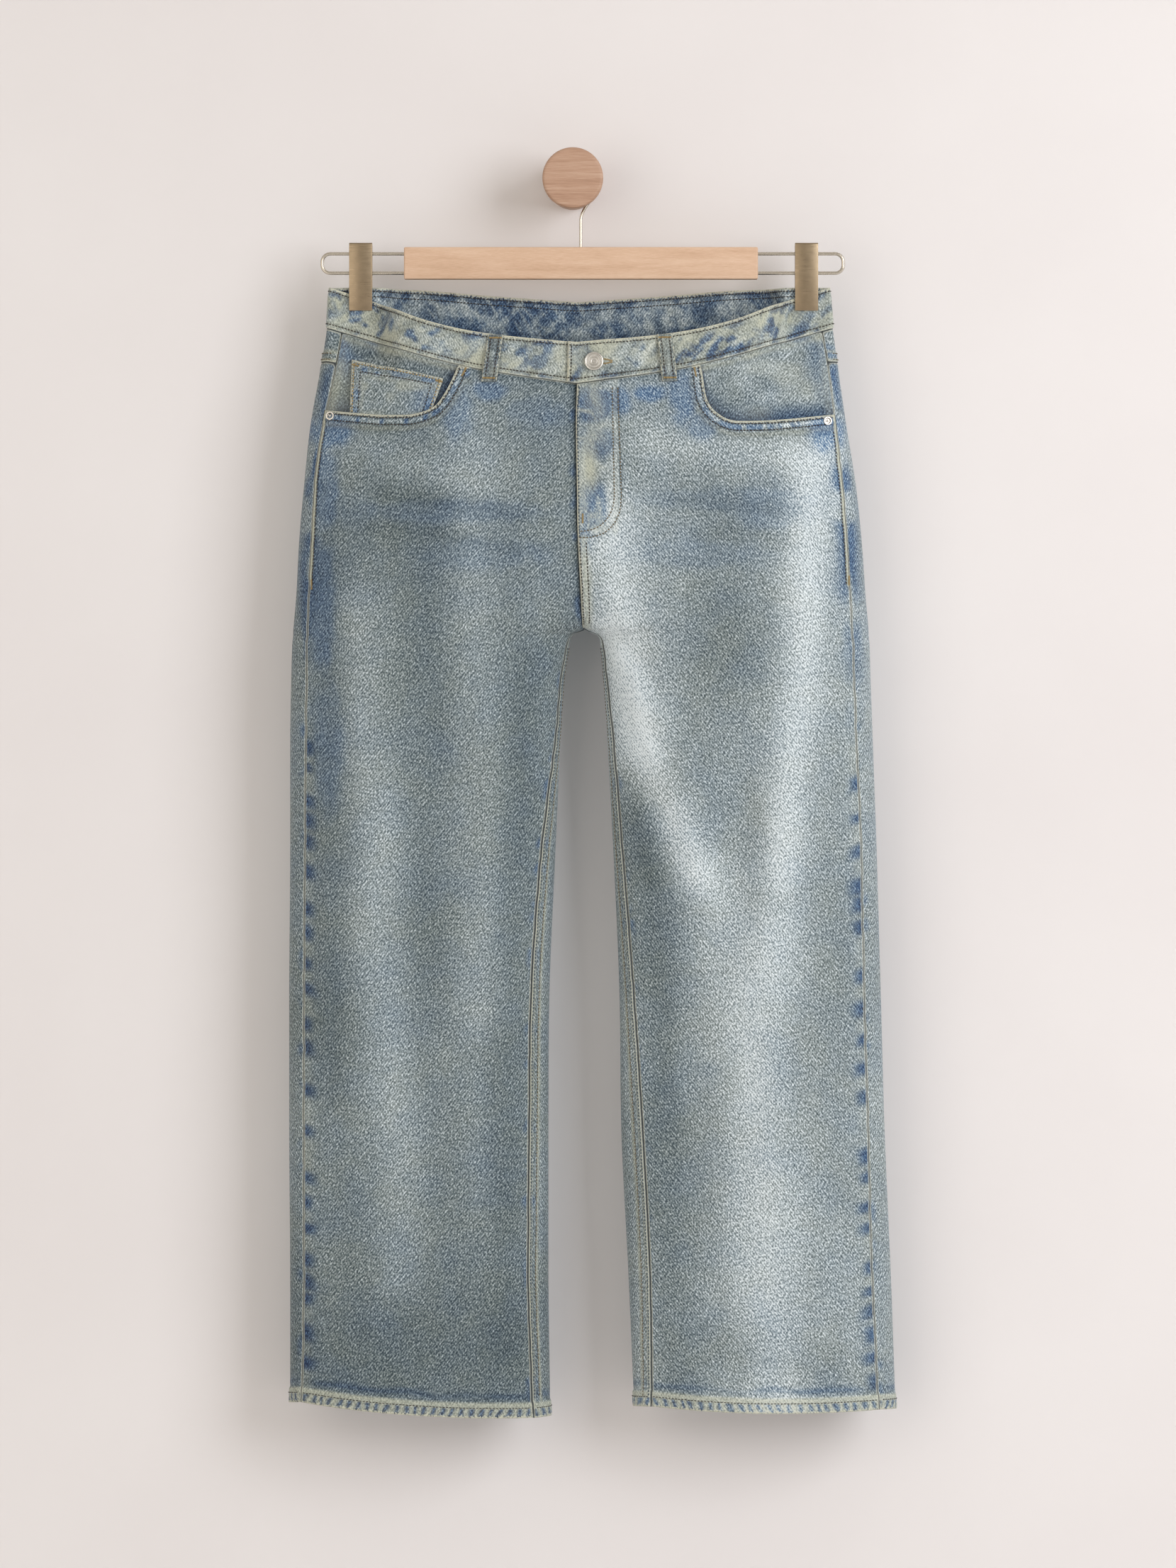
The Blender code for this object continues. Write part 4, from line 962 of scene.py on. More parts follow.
coin = {"corners": [(-218, -178), (-127, -199), (-143, -243), (-220, -243)], "near": -1.8, "far": -3.0,
        "wide": 88.0, "high": 56.0}


def coinPlace(across, down):
    topOuter, topInner, lowInner, lowOuter = np.array(coin["corners"], float)
    top = topOuter + (topInner - topOuter) * across[:, None]
    low = lowOuter + (lowInner - lowOuter) * across[:, None]
    return (top + (low - top) * down[:, None]).T


def coinPiece(name):
    columns, rows = 48, 32

    def place(column, row):
        across, down = column / columns, 1 - row / rows
        x, z = coinPlace(across, down)
        edge = np.minimum(down * coin["high"], np.minimum(across, 1 - across) * coin["wide"])
        relief = 0.35 * puckers(x + z, edge - 4, 140, 5, 7)
        relief = relief - 0.3 * near(edge - 3, 1.5) - 0.3 * near(edge - 10, 1.5)
        fadeAndPaintedLight = washAndPaintedLight(left, True, x, z)[0] + 0.10
        indigo = 0.8 * near(edge - 6.5, 3.5) * ease((hills(x / 6, z / 6, 141) - 0.35) * 3)
        indigo = np.maximum(indigo, 0.75 * near(x + 140, 14) * near(z + 226, 26))
        cream = np.maximum(0.22 * near(edge - 12, 2.5), 0.3 * ease(hills(x / 14, z / 10, 143) * 2 - 0.7))
        points, normals = frontPoint(left, x, z, coin["near"] + relief)
        uv = np.stack([x + bolt["coin"], z], 1)
        return points, normals, uv, colouringOf(fadeAndPaintedLight, indigo, cream, edgeRun=edge + 0.7)

    return clothPiece(name, columns, rows, place, coin["near"] - coin["far"])


backPocket = {"fromCentre": 36.0, "topWidth": 150.0, "lowWidth": 128.0, "topZ": -258.0, "lowZ": -402.0,
              "point": 16.0, "tilt": 6.0, "near": 0.3, "far": 1.8, "wide": 140.0, "high": 144.0}


def backPocketPlace(side, across, up):
    size = backPocket
    width = size["lowWidth"] + (size["topWidth"] - size["lowWidth"]) * up
    middle = size["fromCentre"] + size["topWidth"] / 2
    low = size["lowZ"] - size["point"] * (1 - np.abs(2 * across - 1)) * (1 - up)
    x = centreX(size["topZ"]) + side * (middle + width * (across - 0.5))
    z = low + (size["topZ"] - size["lowZ"]) * up + size["tilt"] * (across - 0.5)
    return x, z


def backPocketPiece(name, side):
    columns, rows = 62, 64
    wide, high = backPocket["wide"], backPocket["high"]

    def place(column, row):
        across, up = column / columns, row / rows
        x, z = backPocketPlace(side, across, up)
        fromTop, fromSide, fromLow = (1 - up) * high, np.minimum(across, 1 - across) * wide, up * high
        edge = np.minimum(np.minimum(fromSide, fromLow), fromTop)
        relief = 0.5 * (1 - ease((fromTop - 22) / 2))
        relief += 0.35 * puckers(x + z, edge - 5, 150 + side, 6, 9) - 0.25 * near(edge - 2.5, 1.4)
        relief += 0.8 * near(fromTop, 12) * np.sin(pi * across)  # the mouth stands a little open
        fadeAndPaintedLight = washAndPaintedLight(side, False, x, z)[0] + 0.06 * np.sin(pi * across)
        indigo = 0.8 * near(edge - 5.5, 3.5) * ease((hills(x / 7, z / 7, 151 + side) - 0.35) * 3)
        points, normals = backPoint(side, x, z, backPocket["far"] + relief)
        uv = np.stack([x + bolt["backPocket"], z], 1)
        return points, normals, uv, colouringOf(fadeAndPaintedLight, indigo, 0.5 * near(edge - 11, 2.5), edgeRun=edge)

    return clothPiece(name, columns, rows, place, backPocket["far"] - backPocket["near"])


small = {}
for side, word in sideWords.items():
    small["yoke", side] = yokePiece("cloth_yoke_" + word, side)
    small["facing", side] = facingPiece("cloth_pocket_facing_" + word, side)
    small["backPocket", side] = backPocketPiece("cloth_back_pocket_" + word, side)
coinPocket = coinPiece("cloth_coin_pocket")
print("yokes and pockets ready")

band = {"in": -1.4, "out": 1.0, "overEnd": -5.0, "underEnd": 30.0, "lift": 2.8, "liftRun": 26.0,
        "middleZ": -184.0, "sideZ": -150.0, "columns": 540, "outerRows": 20, "rollRows": 5, "innerRows": 14,
        "topStitch": 3.6, "lowStitch": 4.2}


# how far along a line of points each of them is
def runsAlong(points):
    return np.concatenate([[0], np.cumsum(np.linalg.norm(np.diff(points, axis=0), axis=1))])


# the waist as one ring: turn 0 at the left end, a quarter at the centre front, a half at the right end
def ringSide(turn):
    turn = np.mod(turn, tau)
    isLeft = (turn < pi / 2) | (turn >= 1.5 * pi)
    return isLeft, np.where(turn < pi / 2, turn, turn - tau), pi - turn


def ringTurn(x, z):
    if x < centreX(z):
        return float(angleAt(left, z, x, True))
    return pi - float(angleAt(right, z, x, True))


def ringEdges(turn):
    isLeft, leftAngle, rightAngle = ringSide(turn)
    angle = np.where(isLeft, leftAngle, rightAngle)
    share = np.abs(np.cos(angle)) ** (2 / form["squareness"])
    front = np.sin(angle) >= 0
    return bandEdge(share, front, "Top"), bandEdge(share, front, "Low")


def ringPoint(turn, z, offset):
    isLeft, leftAngle, rightAngle = ringSide(turn)
    onLeft, leftNormal = proud(left, z, leftAngle, offset)
    onRight, rightNormal = proud(right, z, rightAngle, offset)
    pick = np.broadcast_to(isLeft[..., None], onLeft.shape)
    return np.where(pick, onLeft, onRight), np.where(pick, leftNormal, rightNormal)


bandStart = ringTurn(band["underEnd"], band["middleZ"])
bandEnd = ringTurn(band["overEnd"], band["middleZ"]) - tau
ringTurns = np.linspace(bandStart, bandEnd, 1600)
ringRuns = runsAlong(ringPoint(ringTurns, band["sideZ"], 0)[0])
lapStart = ringTurn(band["underEnd"] + band["liftRun"], band["middleZ"]) - tau
lapFull = ringTurn(band["underEnd"], band["middleZ"]) - tau


def bandLift(turn):
    return band["lift"] * ease((lapStart - turn) / (lapStart - lapFull))


# quilting of the waistband between its rows of stitches, and the diagonal cracks of the wash
def bandSurface(run, up):
    swell = 0.35 * np.sin(pi * np.clip((up - 0.1) / 0.82, 0, 1))
    slant = run + 26 * up
    cracks = hills(slant / 9, up * 1.6, 160) * 0.6 + hills(slant / 4.6, up * 2.2, 161) * 0.4
    relief = swell + (cracks - 0.5) * 1.1 * np.sin(pi * np.clip(up, 0, 1)) ** 0.5
    relief -= 0.3 * near((1 - up) * bandHeight - band["topStitch"], 1.6)
    relief -= 0.3 * near(up * bandHeight - band["lowStitch"], 1.6)
    return relief, cracks


def bandPiece(name):
    outer, roll, inner = band["outerRows"], band["rollRows"], band["innerRows"]
    rows = outer + roll + inner + roll
    half = (band["out"] - band["in"]) / 2
    middle = (band["out"] + band["in"]) / 2

    def place(column, row):
        run = ringRuns[-1] * column / band["columns"]
        turn = np.interp(run, ringRuns, ringTurns)
        top, low = ringEdges(turn)
        high = top - low
        margin = half / high
        # round the strip's section: up the outer face, over the top, down the inner face and round below
        parts = [row <= outer, row <= outer + roll, row <= outer + roll + inner]
        rising, falling = row / outer, 1 - (row - outer - roll) / inner
        over, under = pi * (row - outer) / roll, pi * (row - outer - roll - inner) / roll
        share = np.select(parts, [margin + (1 - 2 * margin) * rising, 1 - margin + margin * np.sin(over),
                                  margin + (1 - 2 * margin) * falling], margin - margin * np.sin(under))
        offset = np.select(parts, [band["out"], middle + half * np.cos(over), band["in"]],
                           middle - half * np.cos(under))
        z = low + high * share
        relief, cracks = bandSurface(run, share)
        inside = offset < middle
        fromEnd = np.minimum(run, ringRuns[-1] - run)
        relief = np.where(inside, -0.4 * relief, relief) * ease(fromEnd / 3)
        flatFace = np.abs(offset - middle) > 0.6
        points, normals = ringPoint(turn, z, offset + relief * np.where(flatFace, 1, 0.3) + bandLift(turn))
        up = share * bandHeight
        blots = hills((run + 0.8 * up) / 8, (up - 0.3 * run) / 15, 163) * 0.45
        blots = blots + hills(run / 4.2, up / 4.6, 171) * 0.2
        blots = blots + hills((run - 0.7 * up) / 10, up / 10, 164) * 0.35
        fine = hills((run - 0.3 * up) / 9, up / 11, 169) * 0.5
        fine = fine + hills((run + 0.2 * up) / 4.2, up / 6, 170) * 0.5
        broad = ease((hills(run / 60, share * 1.5, 172) - 0.3) * 2.2)
        indigo = ease((blots - 0.50 + 0.07 * broad) * 6) * (0.55 + 0.35 * broad)
        crumple = veins((run + 0.8 * up) / 13, (up - 0.3 * run) / 30, 165, 8.0)
        crossed = veins((run - 0.9 * up) / 12, (up + 0.2 * run) / 28, 173, 8.0)
        insideCrumple = ease(0.55 * np.maximum(crumple, crossed) + 1.1 * (fine - 0.38))
        indigo = np.where(inside, 0.72 - 0.42 * insideCrumple, indigo * (1 - 0.4 * crumple))
        # the cloth along the stitch rows is darkened: painted shade in their groove, with dirt
        sewn = near((1 - share) * high - band["topStitch"], 1.5) + near(share * high - band["lowStitch"], 1.5)
        fadeAndPaintedLight = np.where(inside, 0.31 + 0.36 * insideCrumple + 0.2 * (cracks - 0.5) - 0.2 * sewn,
                        0.51 + 0.5 * (cracks - 0.5) + 0.12 * crumple - 0.2 * sewn - 0.22 * indigo)
        bloom = (0.30 + 0.5 * (hills(run / 34, share * 2, 166) - 0.4)) * (1 - 0.9 * indigo) + 0.25 * crumple
        cream = np.where(inside, 0.3 * insideCrumple * blots, np.clip(bloom, 0, 1))
        edge = np.minimum((1 - share) * high, np.where(inside, 50, fromEnd + 0.3))
        seamRun = np.where(inside, 50.0, share * high * 0.6 + 1.2)
        around = np.where(inside, share * high + 60, share * high)
        uv = np.stack([run + bolt["band"], around + 40], 1)
        return points, normals, uv, colouringOf(fadeAndPaintedLight, indigo, cream, seamRun, edge)

    piece = clothPiece(name, band["columns"], rows, place, thickness=0)
    closed = bmesh.new()
    closed.from_mesh(piece.data)
    bmesh.ops.remove_doubles(closed, verts=closed.verts, dist=1e-6)
    bmesh.ops.holes_fill(closed, edges=[edge for edge in closed.edges if edge.is_boundary], sides=0)
    outwards(closed)
    closed.to_mesh(piece.data)
    closed.free()
    return piece


waistband = bandPiece("cloth_waistband")
print("waistband ready")

loop = {"width": 15.0, "above": 1.0, "below": 11.0, "thick": 2.0, "stand": 1.8, "arch": 1.5, "stitchAt": 3.6,
        "columns": 12, "rows": 40}
loopPlaces = [("loop_front_left", True, -75.5, -82), ("loop_front_right", True, 90, 95),
              ("loop_side_left", False, -172, -174), ("loop_side_right", False, 184, 186),
              ("loop_back", False, 5, 5)]


def loopFrame(ahead, xTop, xLow):
    middle = (xTop + xLow) / 2
    side = left if middle < centreX(band["sideZ"]) else right
    share = widthShare(side, middle, band["sideZ"])
    top, low = [float(bandEdge(share, ahead, edge)) for edge in ("Top", "Low")]
    return top - loop["above"], low - loop["below"]


def loopPoint(ahead, x, z, offset):
    point = frontPoint if ahead else backPoint
    onLeft, leftNormal = point(left, x, z, offset)
    onRight, rightNormal = point(right, x, z, offset)
    pick = (x < centreX(z))[..., None]
    return np.where(pick, onLeft, onRight), np.where(pick, leftNormal, rightNormal)


def loopPiece(name, ahead, xTop, xLow):
    top, low = loopFrame(ahead, xTop, xLow)
    seed = 170 + xTop / 7

    def place(column, row):
        across, up = column / loop["columns"], row / loop["rows"]
        x = xLow + (xTop - xLow) * up + loop["width"] * (across - 0.5)
        z = low + (top - low) * up
        fromSide = np.minimum(across, 1 - across) * loop["width"]
        fromEnd = np.minimum(up, 1 - up) * (top - low)
        relief = 0.5 * (1 - near(fromSide, 1.6)) - 0.35 * near(fromSide - loop["stitchAt"], 1.1)
        relief = relief + 0.35 * (hills(z / 6, across * 2, seed) - 0.5) - 0.5 * near(fromEnd, 2.5)
        offset = loop["stand"] + loop["arch"] * np.sin(pi * up) + loop["thick"] - 0.5 + relief
        points, normals = loopPoint(ahead, x, z, offset)
        fadeAndPaintedLight = 0.37 + 0.3 * (hills(z / 9, across * 2, seed + 3) - 0.5)
        # darker along the stitch rows: painted shade in their groove, with dirt
        fadeAndPaintedLight = fadeAndPaintedLight - 0.2 * near(fromSide - loop["stitchAt"], 1.2)
        indigo = 0.6 * near(fromSide - loop["stitchAt"], 1.4) * ease(hills(z / 5, 0.5, seed + 5) * 2 - 0.5)
        indigo = 0.15 + indigo
        cream = 0.06 + 0.3 * hills(z / 8, across * 2, seed + 7)
        uv = np.stack([x + bolt["loop"], z], 1)
        return points, normals, uv, colouringOf(fadeAndPaintedLight, indigo, cream, edgeRun=fromSide + 1.5)

    return clothPiece("cloth_" + name, loop["columns"], loop["rows"], place, loop["thick"] - 0.5)


loops = {name: loopPiece(name, ahead, xTop, xLow) for name, ahead, xTop, xLow in loopPlaces}
print("belt loops ready")


# Cotton-wrapped polyester sewing thread: matt with a slight shine along the twist.
def threadMaterial(name, hexColour):
    material, tree = newMaterial(name)
    place = addNode(tree, "TexCoord")
    fibre = addNode(tree, "TexNoise", {"Vector": place.outputs["Object"], "Scale": 900.0, "Detail": 1.0})
    bright = addNode(tree, "MapRange", {"Value": fibre.outputs["Fac"], "To Min": 0.65, "To Max": 1.35})
    colour = addNode(tree, "HueSaturation", {"Color": linear(hexColour), "Value": bright.outputs[0]})
    shader = addNode(tree, "BsdfPrincipled", {"Base Color": colour.outputs[0], "Roughness": 0.6,
                     "Specular IOR Level": 0.35})
    addNode(tree, "OutputMaterial", {"Surface": shader.outputs[0]})
    return material


threads = {"brown": threadMaterial("sewing thread, dark brown", "#3A342F"),
           "tan": threadMaterial("sewing thread, washed tan", "#6E6450"),
           "gold": threadMaterial("sewing thread, gold", "#A08A5C"),
           "slate": threadMaterial("sewing thread, washed slate", "#46535E")}
stitch = {"pitch": 3.3, "length": 2.7, "width": 1.25, "height": 0.9, "sink": 0.12}
seamKeys = ("waist", "front_left", "front_right", "back_left", "back_right", "tacks")
seamMeshes = {key: bmesh.new() for key in seamKeys}
threadNames = list(threads)


# the place at one run along a line of values
def valueAt(values, runs, run):
    return np.array([np.interp(run, runs, values[:, i]) for i in range(3)])


# a row of stitches along points in mm, each a small spindle lying on the cloth
def sew(target, thread, points, normals, **changes):
    size = {**stitch, **changes}
    runs = runsAlong(points)
    shape = Matrix.Diagonal([size[key] / 2 * mm for key in ("length", "width", "height")] + [1])
    row = bmesh.new()
    for run in np.arange(size["pitch"] / 2, runs[-1], size["pitch"]):
        here, behind, ahead = [Vector(valueAt(points, runs, run + step)) for step in (0, -0.6, 0.6)]
        outward = Vector(valueAt(normals, runs, run)).normalized()
        along = (ahead - behind).normalized()
        across = outward.cross(along).normalized()
        outward = along.cross(across)
        turn = Matrix((along, across, outward)).transposed().to_4x4()
        lie = Matrix.Translation((here + outward * size["sink"]) * mm)
        bmesh.ops.create_icosphere(row, subdivisions=1, radius=1, matrix=lie @ turn @ shape)
    for face in row.faces:
        face.material_index = threadNames.index(thread)
        face.smooth = True
    sewn = meshFrom(row, "row")
    seamMeshes[target].from_mesh(sewn)
    bpy.data.meshes.remove(sewn)


def evenly(start, end, spacing=3.0):
    return np.linspace(start, end, max(int(abs(end - start) / spacing), 2))


# x and z at even steps along a drawn line
def evenPath(line, count=90):
    line = np.array(line, float)
    runs = runsAlong(line)
    fine = np.linspace(0, runs[-1], count)
    return np.interp(fine, runs, line[:, 0]), np.interp(fine, runs, line[:, 1])


# shares across and along a pocket, on a line round three of its sides
def threeSides(depth, size, count, top=0.98):
    wide, high = depth / size["wide"], depth / size["high"]
    across = np.concatenate([np.full(count, wide), np.linspace(wide, 1 - wide, 40), np.full(count, 1 - wide)])
    return across, np.concatenate([np.linspace(top, high, count), np.full(40, high),
                                   np.linspace(high, top, count)])


surfaceTrees = {}


# a row on a cloth piece itself: the nearest points of its surface to a line of wanted points
def onSurface(piece, wanted, lift=0.25):
    if piece.name not in surfaceTrees:
        shape = bmesh.new()
        shape.from_mesh(piece.data)
        surfaceTrees[piece.name] = BVHTree.FromBMesh(shape)
        shape.free()
    found, normals = [], []
    for point in wanted:
        place, normal, index, distance = surfaceTrees[piece.name].find_nearest(Vector(point) * mm)
        if normal.dot(Vector(point) * mm - place) < 0 and distance > 0.0025:
            normal = -normal
        found.append(np.array(place) / mm + np.array(normal) * lift)
        normals.append(np.array(normal))
    return np.array(found), np.array(normals)


def sewOn(target, thread, piece, wanted, **changes):
    points, normals = onSurface(piece, wanted)
    sew(target, thread, points, normals, **changes)


def panelLine(side, face, z, fromOut=None, fromIn=None):
    width = panelWidth(side, face, z)
    run = width - fromIn if fromOut is None else fromOut
    return proud(side, z, angleFor(side, face, z, run / width), 1.0)[0]


for side, word in sideWords.items():
    front, back, yoke = panels["front", side], panels["back", side], small["yoke", side]
    frontSeams, backSeams = "front_" + word, "back_" + word
    # outseam, from the pocket down to its bar tack
    sewOn(frontSeams, "brown", front, panelLine(side, "front", evenly(-250, -400), fromOut=4.4))
    # hem, front and back
    share = np.linspace(0.01, 0.99, 160)
    z = hemLow(side, share) + hem["stitchAt"]
    for face, piece, target in (("front", front, frontSeams), ("back", back, backSeams)):
        sewOn(target, "brown", piece, proud(side, z, angleFor(side, face, z, share), 2.0)[0], width=0.9)
    # felled inseam: two rows on the back panel's edge
    for away, thread in zip(rowsAt["felled"], ("slate", "tan")):
        sewOn(backSeams, thread, back, panelLine(side, "back", evenly(-462, -1200), fromIn=away))
    # pocket opening: two rows that follow its lip
    px = evenPath(pockets[side])[0]
    pz = scoopHeight(side, px)
    slopeX, slopeZ = np.gradient(px), np.gradient(pz)
    length = np.hypot(slopeX, slopeZ)
    for depth in rowsAt["mouth"]:
        x = px - side * np.abs(slopeZ / length) * depth
        z = pz - np.abs(slopeX / length) * depth
        inPanel = side * x < side * (halfRow(side, z)["seam"] - side * 3)
        keep = inPanel & (z < bandEdge(widthShare(side, x, z), True, "Low") - 1)
        sewOn(frontSeams, "brown", front, frontPoint(side, x[keep], z[keep], 1.0)[0])
    # yoke seam and centre back seam: two rows each
    share = np.linspace(0.02, 0.98, 110)
    lows = edgeHeights(side, "back", share, yokeLow, -205.0)
    for up in rowsAt["felled"]:
        z = lows + up
        sewOn(backSeams, "tan", yoke, proud(side, z, angleFor(side, "back", z, share), 1.0)[0])
    if side == left:
        for away in rowsAt["felled"]:
            sewOn(backSeams, "tan", back, panelLine(side, "back", evenly(-238, -440), fromIn=away))
    # back pocket: two rows round it, and one below its hem
    rows = [threeSides(depth, backPocket, 40) for depth in rowsAt["backPocket"]]
    rows.append((np.linspace(0.03, 0.97, 50), np.full(50, 1 - 21 / backPocket["high"])))
    for across, up in rows:
        x, z = backPocketPlace(side, across, up)
        sewOn(backSeams, "tan", small["backPocket", side], backPoint(side, x, z, 2.5)[0])
print("leg and pocket stitches ready")

# fly: two rows in the shape of a J, then two rows down the centre seam to the crotch
rightFront, leftFront = panels["front", right], panels["front", left]
for key in ("stitchOuter", "stitchInner"):
    sewOn("front_right", "tan", rightFront, frontPoint(right, *evenPath(fly[key]), 1.0)[0])
for away in rowsAt["fly"]:
    sewOn("front_right", "brown", rightFront, panelLine(right, "front", evenly(-360, -440), fromIn=away))
sewOn("front_right", "slate", rightFront, panelLine(right, "front", evenly(-208, -356), fromIn=2.0))

# coin pocket: two rows on its top and sides
for depth, thread in zip(rowsAt["coin"], ("gold", "brown")):
    x, z = coinPlace(*threeSides(depth, coin, 20))
    sewOn("front_left", thread, coinPocket, frontPoint(left, x, z, 0.0)[0])

# waistband: one row under the rolled top edge and one above the seam, all round, and two rows inside the back
turns = np.linspace(bandStart - 0.004, bandEnd + 0.004, 900)
top, low = ringEdges(turns)
for z in (top - band["topStitch"], low + band["lowStitch"]):
    sewOn("waist", "brown", waistband, ringPoint(turns, z, band["out"] + 1.0 + bandLift(turns))[0])
turns = np.linspace(-0.12, -pi + 0.12, 420)
top, low = ringEdges(turns)
for z in (top - band["topStitch"], top - 9.0):
    sewOn("waist", "brown", waistband, ringPoint(turns, z, band["in"] - 1.0)[0])
upright = evenly(-167, -202, 2.0)
ends = np.full(len(upright), ringTurn(-1.4, band["middleZ"]) - tau)
sewOn("waist", "brown", waistband, ringPoint(ends, upright, band["out"] + 1.0 + bandLift(ends))[0])

# belt loops: two columns of stitches each
up = np.linspace(0.03, 0.97, 30)
for name, ahead, xTop, xLow in loopPlaces:
    top, low = loopFrame(ahead, xTop, xLow)
    for away in rowsAt["loop"]:
        x = xLow + (xTop - xLow) * up + away
        sewOn("waist", "brown", loops[name], loopPoint(ahead, x, low + (top - low) * up, 6.0)[0])

# bar tacks: dense stitches across a short bar
tacks = {"pitch": 0.55, "length": 2.4, "width": 0.6, "height": 0.6}


def barTack(ahead, x, z, wide, lean, piece, offset=2.0):
    turn = math.radians(lean)
    run = np.linspace(-wide / 2, wide / 2, 9)
    line = loopPoint(ahead, x + run * math.cos(turn), z + run * math.sin(turn), offset)[0]
    points, normals = onSurface(piece, line, 0.35)
    crossing = np.cross(normals, np.gradient(points, axis=0))
    crossing /= np.linalg.norm(crossing, axis=1, keepdims=True)
    for step in np.linspace(0, 8, max(int(wide / tacks["pitch"]), 3)):
        middle, across, outward = [valueAt(values, range(9), step) for values in (points, crossing, normals)]
        sew("tacks", "gold", np.stack([middle - across, middle + across]), np.stack([outward, outward]),
            **{**tacks, "pitch": 2.0})


for name, ahead, xTop, xLow in loopPlaces:
    top, low = loopFrame(ahead, xTop, xLow)
    barTack(ahead, xTop, top - 3.0, 12, 0, loops[name], offset=6.0)
    barTack(ahead, xLow, low + 3.2, 12, 0, loops[name], offset=6.0)
# x, z, width, lean in degrees, piece, how far off the looked-for point is
for tack in ((-106.5, -193, 9, 62, leftFront, 2.0), (120.0, -193, 9, -78, rightFront, 2.0),
             (-257.0, -401, 9, 90, leftFront, 2.0), (271.5, -397, 9, 90, rightFront, 2.0),
             (10.0, -337, 9, 90, rightFront, 2.0),
             (-214.0, -184, 7, -14, coinPocket, 0.0), (-131.0, -201.5, 7, -14, coinPocket, 0.0)):
    barTack(True, *tack)
for side in (left, right):
    for across in (0.03, 0.97):
        x, z = backPocketPlace(side, across, 0.975)
        barTack(False, float(x), float(z), 7, 0, small["backPocket", side], offset=2.5)
print("bar tacks ready")

# buttonhole: a slit bound with thread beside the button
slit = {"start": 27.0, "end": 38.6, "z": -183.4, "rows": 2.1, "across": 0.42, "deep": 0.35, "long": 0.95}
holeX = np.linspace(slit["start"], slit["end"], 14)
bound = Matrix.Diagonal([slit[key] * mm for key in ("across", "deep", "long")] + [1])
for away in (-slit["rows"], slit["rows"]):
    wanted = frontPoint(right, holeX, slit["z"] + away * near(holeX - slit["start"] - 4, 7), 5.0)[0]
    for point in onSurface(waistband, wanted, 0.35)[0]:
        lie = Matrix.Translation(Vector(point) * mm)
        made = bmesh.ops.create_icosphere(seamMeshes["tacks"], subdivisions=1, radius=1, matrix=lie @ bound)
        for face in {face for vert in made["verts"] for face in vert.link_faces}:
            face.material_index = threadNames.index("gold")

seams = {key: link("stitches_" + key, meshFrom(made, "stitches_" + key), *threads.values())
         for key, made in seamMeshes.items()}
print("stitches ready")


# Metals: silver-plated zinc of the button, antique bronze steel of the clips, nickel-plated wire.
def metalMaterial(name, hexColour, roughness, brushAlong, brush=0.12, spots=0.0):
    material, tree = newMaterial(name)
    place = addNode(tree, "TexCoord")
    lay = addNode(tree, "Mapping", {"Vector": place.outputs["Object"], "Scale": brushAlong})
    marks = addNode(tree, "TexNoise", {"Vector": lay.outputs[0], "Scale": 1.0, "Detail": 3.0})
    worn = addNode(tree, "TexNoise", {"Vector": place.outputs["Object"], "Scale": 160.0, "Detail": 3.0})
    tint = addNode(tree, "MapRange", {"Value": worn.outputs["Fac"], "From Min": 0.3, "From Max": 0.7,
                   "To Min": 1 - spots, "To Max": 1 + spots})
    colour = addNode(tree, "HueSaturation", {"Color": linear(hexColour), "Value": tint.outputs[0]})
    shine = addNode(tree, "MapRange", {"Value": marks.outputs["Fac"], "From Min": 0.25, "From Max": 0.75,
                    "To Min": roughness - brush, "To Max": roughness + brush})
    relief = addNode(tree, "Bump", {"Height": marks.outputs["Fac"], "Strength": 0.12, "Distance": 0.0002})
    shader = addNode(tree, "BsdfPrincipled", {"Base Color": colour.outputs[0], "Metallic": 1.0,
                     "Roughness": shine.outputs[0], "Normal": relief.outputs[0]})
    addNode(tree, "OutputMaterial", {"Surface": shader.outputs[0]})
    return material


silverPlate = metalMaterial("silver-plated zinc, tumbled", "#CDCBC4", 0.38, (700, 700, 700), 0.1, 0.12)
bronzeSteel = metalMaterial("antique bronze plated steel, brushed", "#97876F", 0.36, (60, 900, 2600), 0.12,
                            0.06)
nickelWire = metalMaterial("nickel-plated steel wire", "#C9C2B4", 0.26, (500, 500, 500), 0.06, 0.04)


# Beech and oak: fine pores along the grain, growth bands wider apart, a matt oiled face.
def woodMaterial(name, stops, grainScale, bandScale, roughness):
    material, tree = newMaterial(name)
    place = addNode(tree, "TexCoord")
    lay = addNode(tree, "Mapping", {"Vector": place.outputs["Object"], "Scale": grainScale})
    pores = addNode(tree, "TexNoise", {"Vector": lay.outputs[0], "Scale": 1.0, "Detail": 4.0,
                    "Roughness": 0.65})
    wide = addNode(tree, "Mapping", {"Vector": place.outputs["Object"], "Scale": bandScale})
    growth = addNode(tree, "TexNoise", {"Vector": wide.outputs[0], "Scale": 1.0, "Detail": 2.0,
                     "Distortion": 0.4})
    mixed = addNode(tree, "Mix", {0: 0.5, 2: pores.outputs["Fac"], 3: growth.outputs["Fac"]})
    colour = addNode(tree, "ValToRGB", {"Fac": mixed.outputs[0]})
    setRamp(colour, stops)
    relief = addNode(tree, "Bump", {"Height": pores.outputs["Fac"], "Strength": 0.25,
                     "Distance": 0.0003})
    shader = addNode(tree, "BsdfPrincipled", {"Base Color": colour.outputs[0], "Roughness": roughness,
                     "Specular IOR Level": 0.4, "Normal": relief.outputs[0]})
    addNode(tree, "OutputMaterial", {"Surface": shader.outputs[0]})
    return material


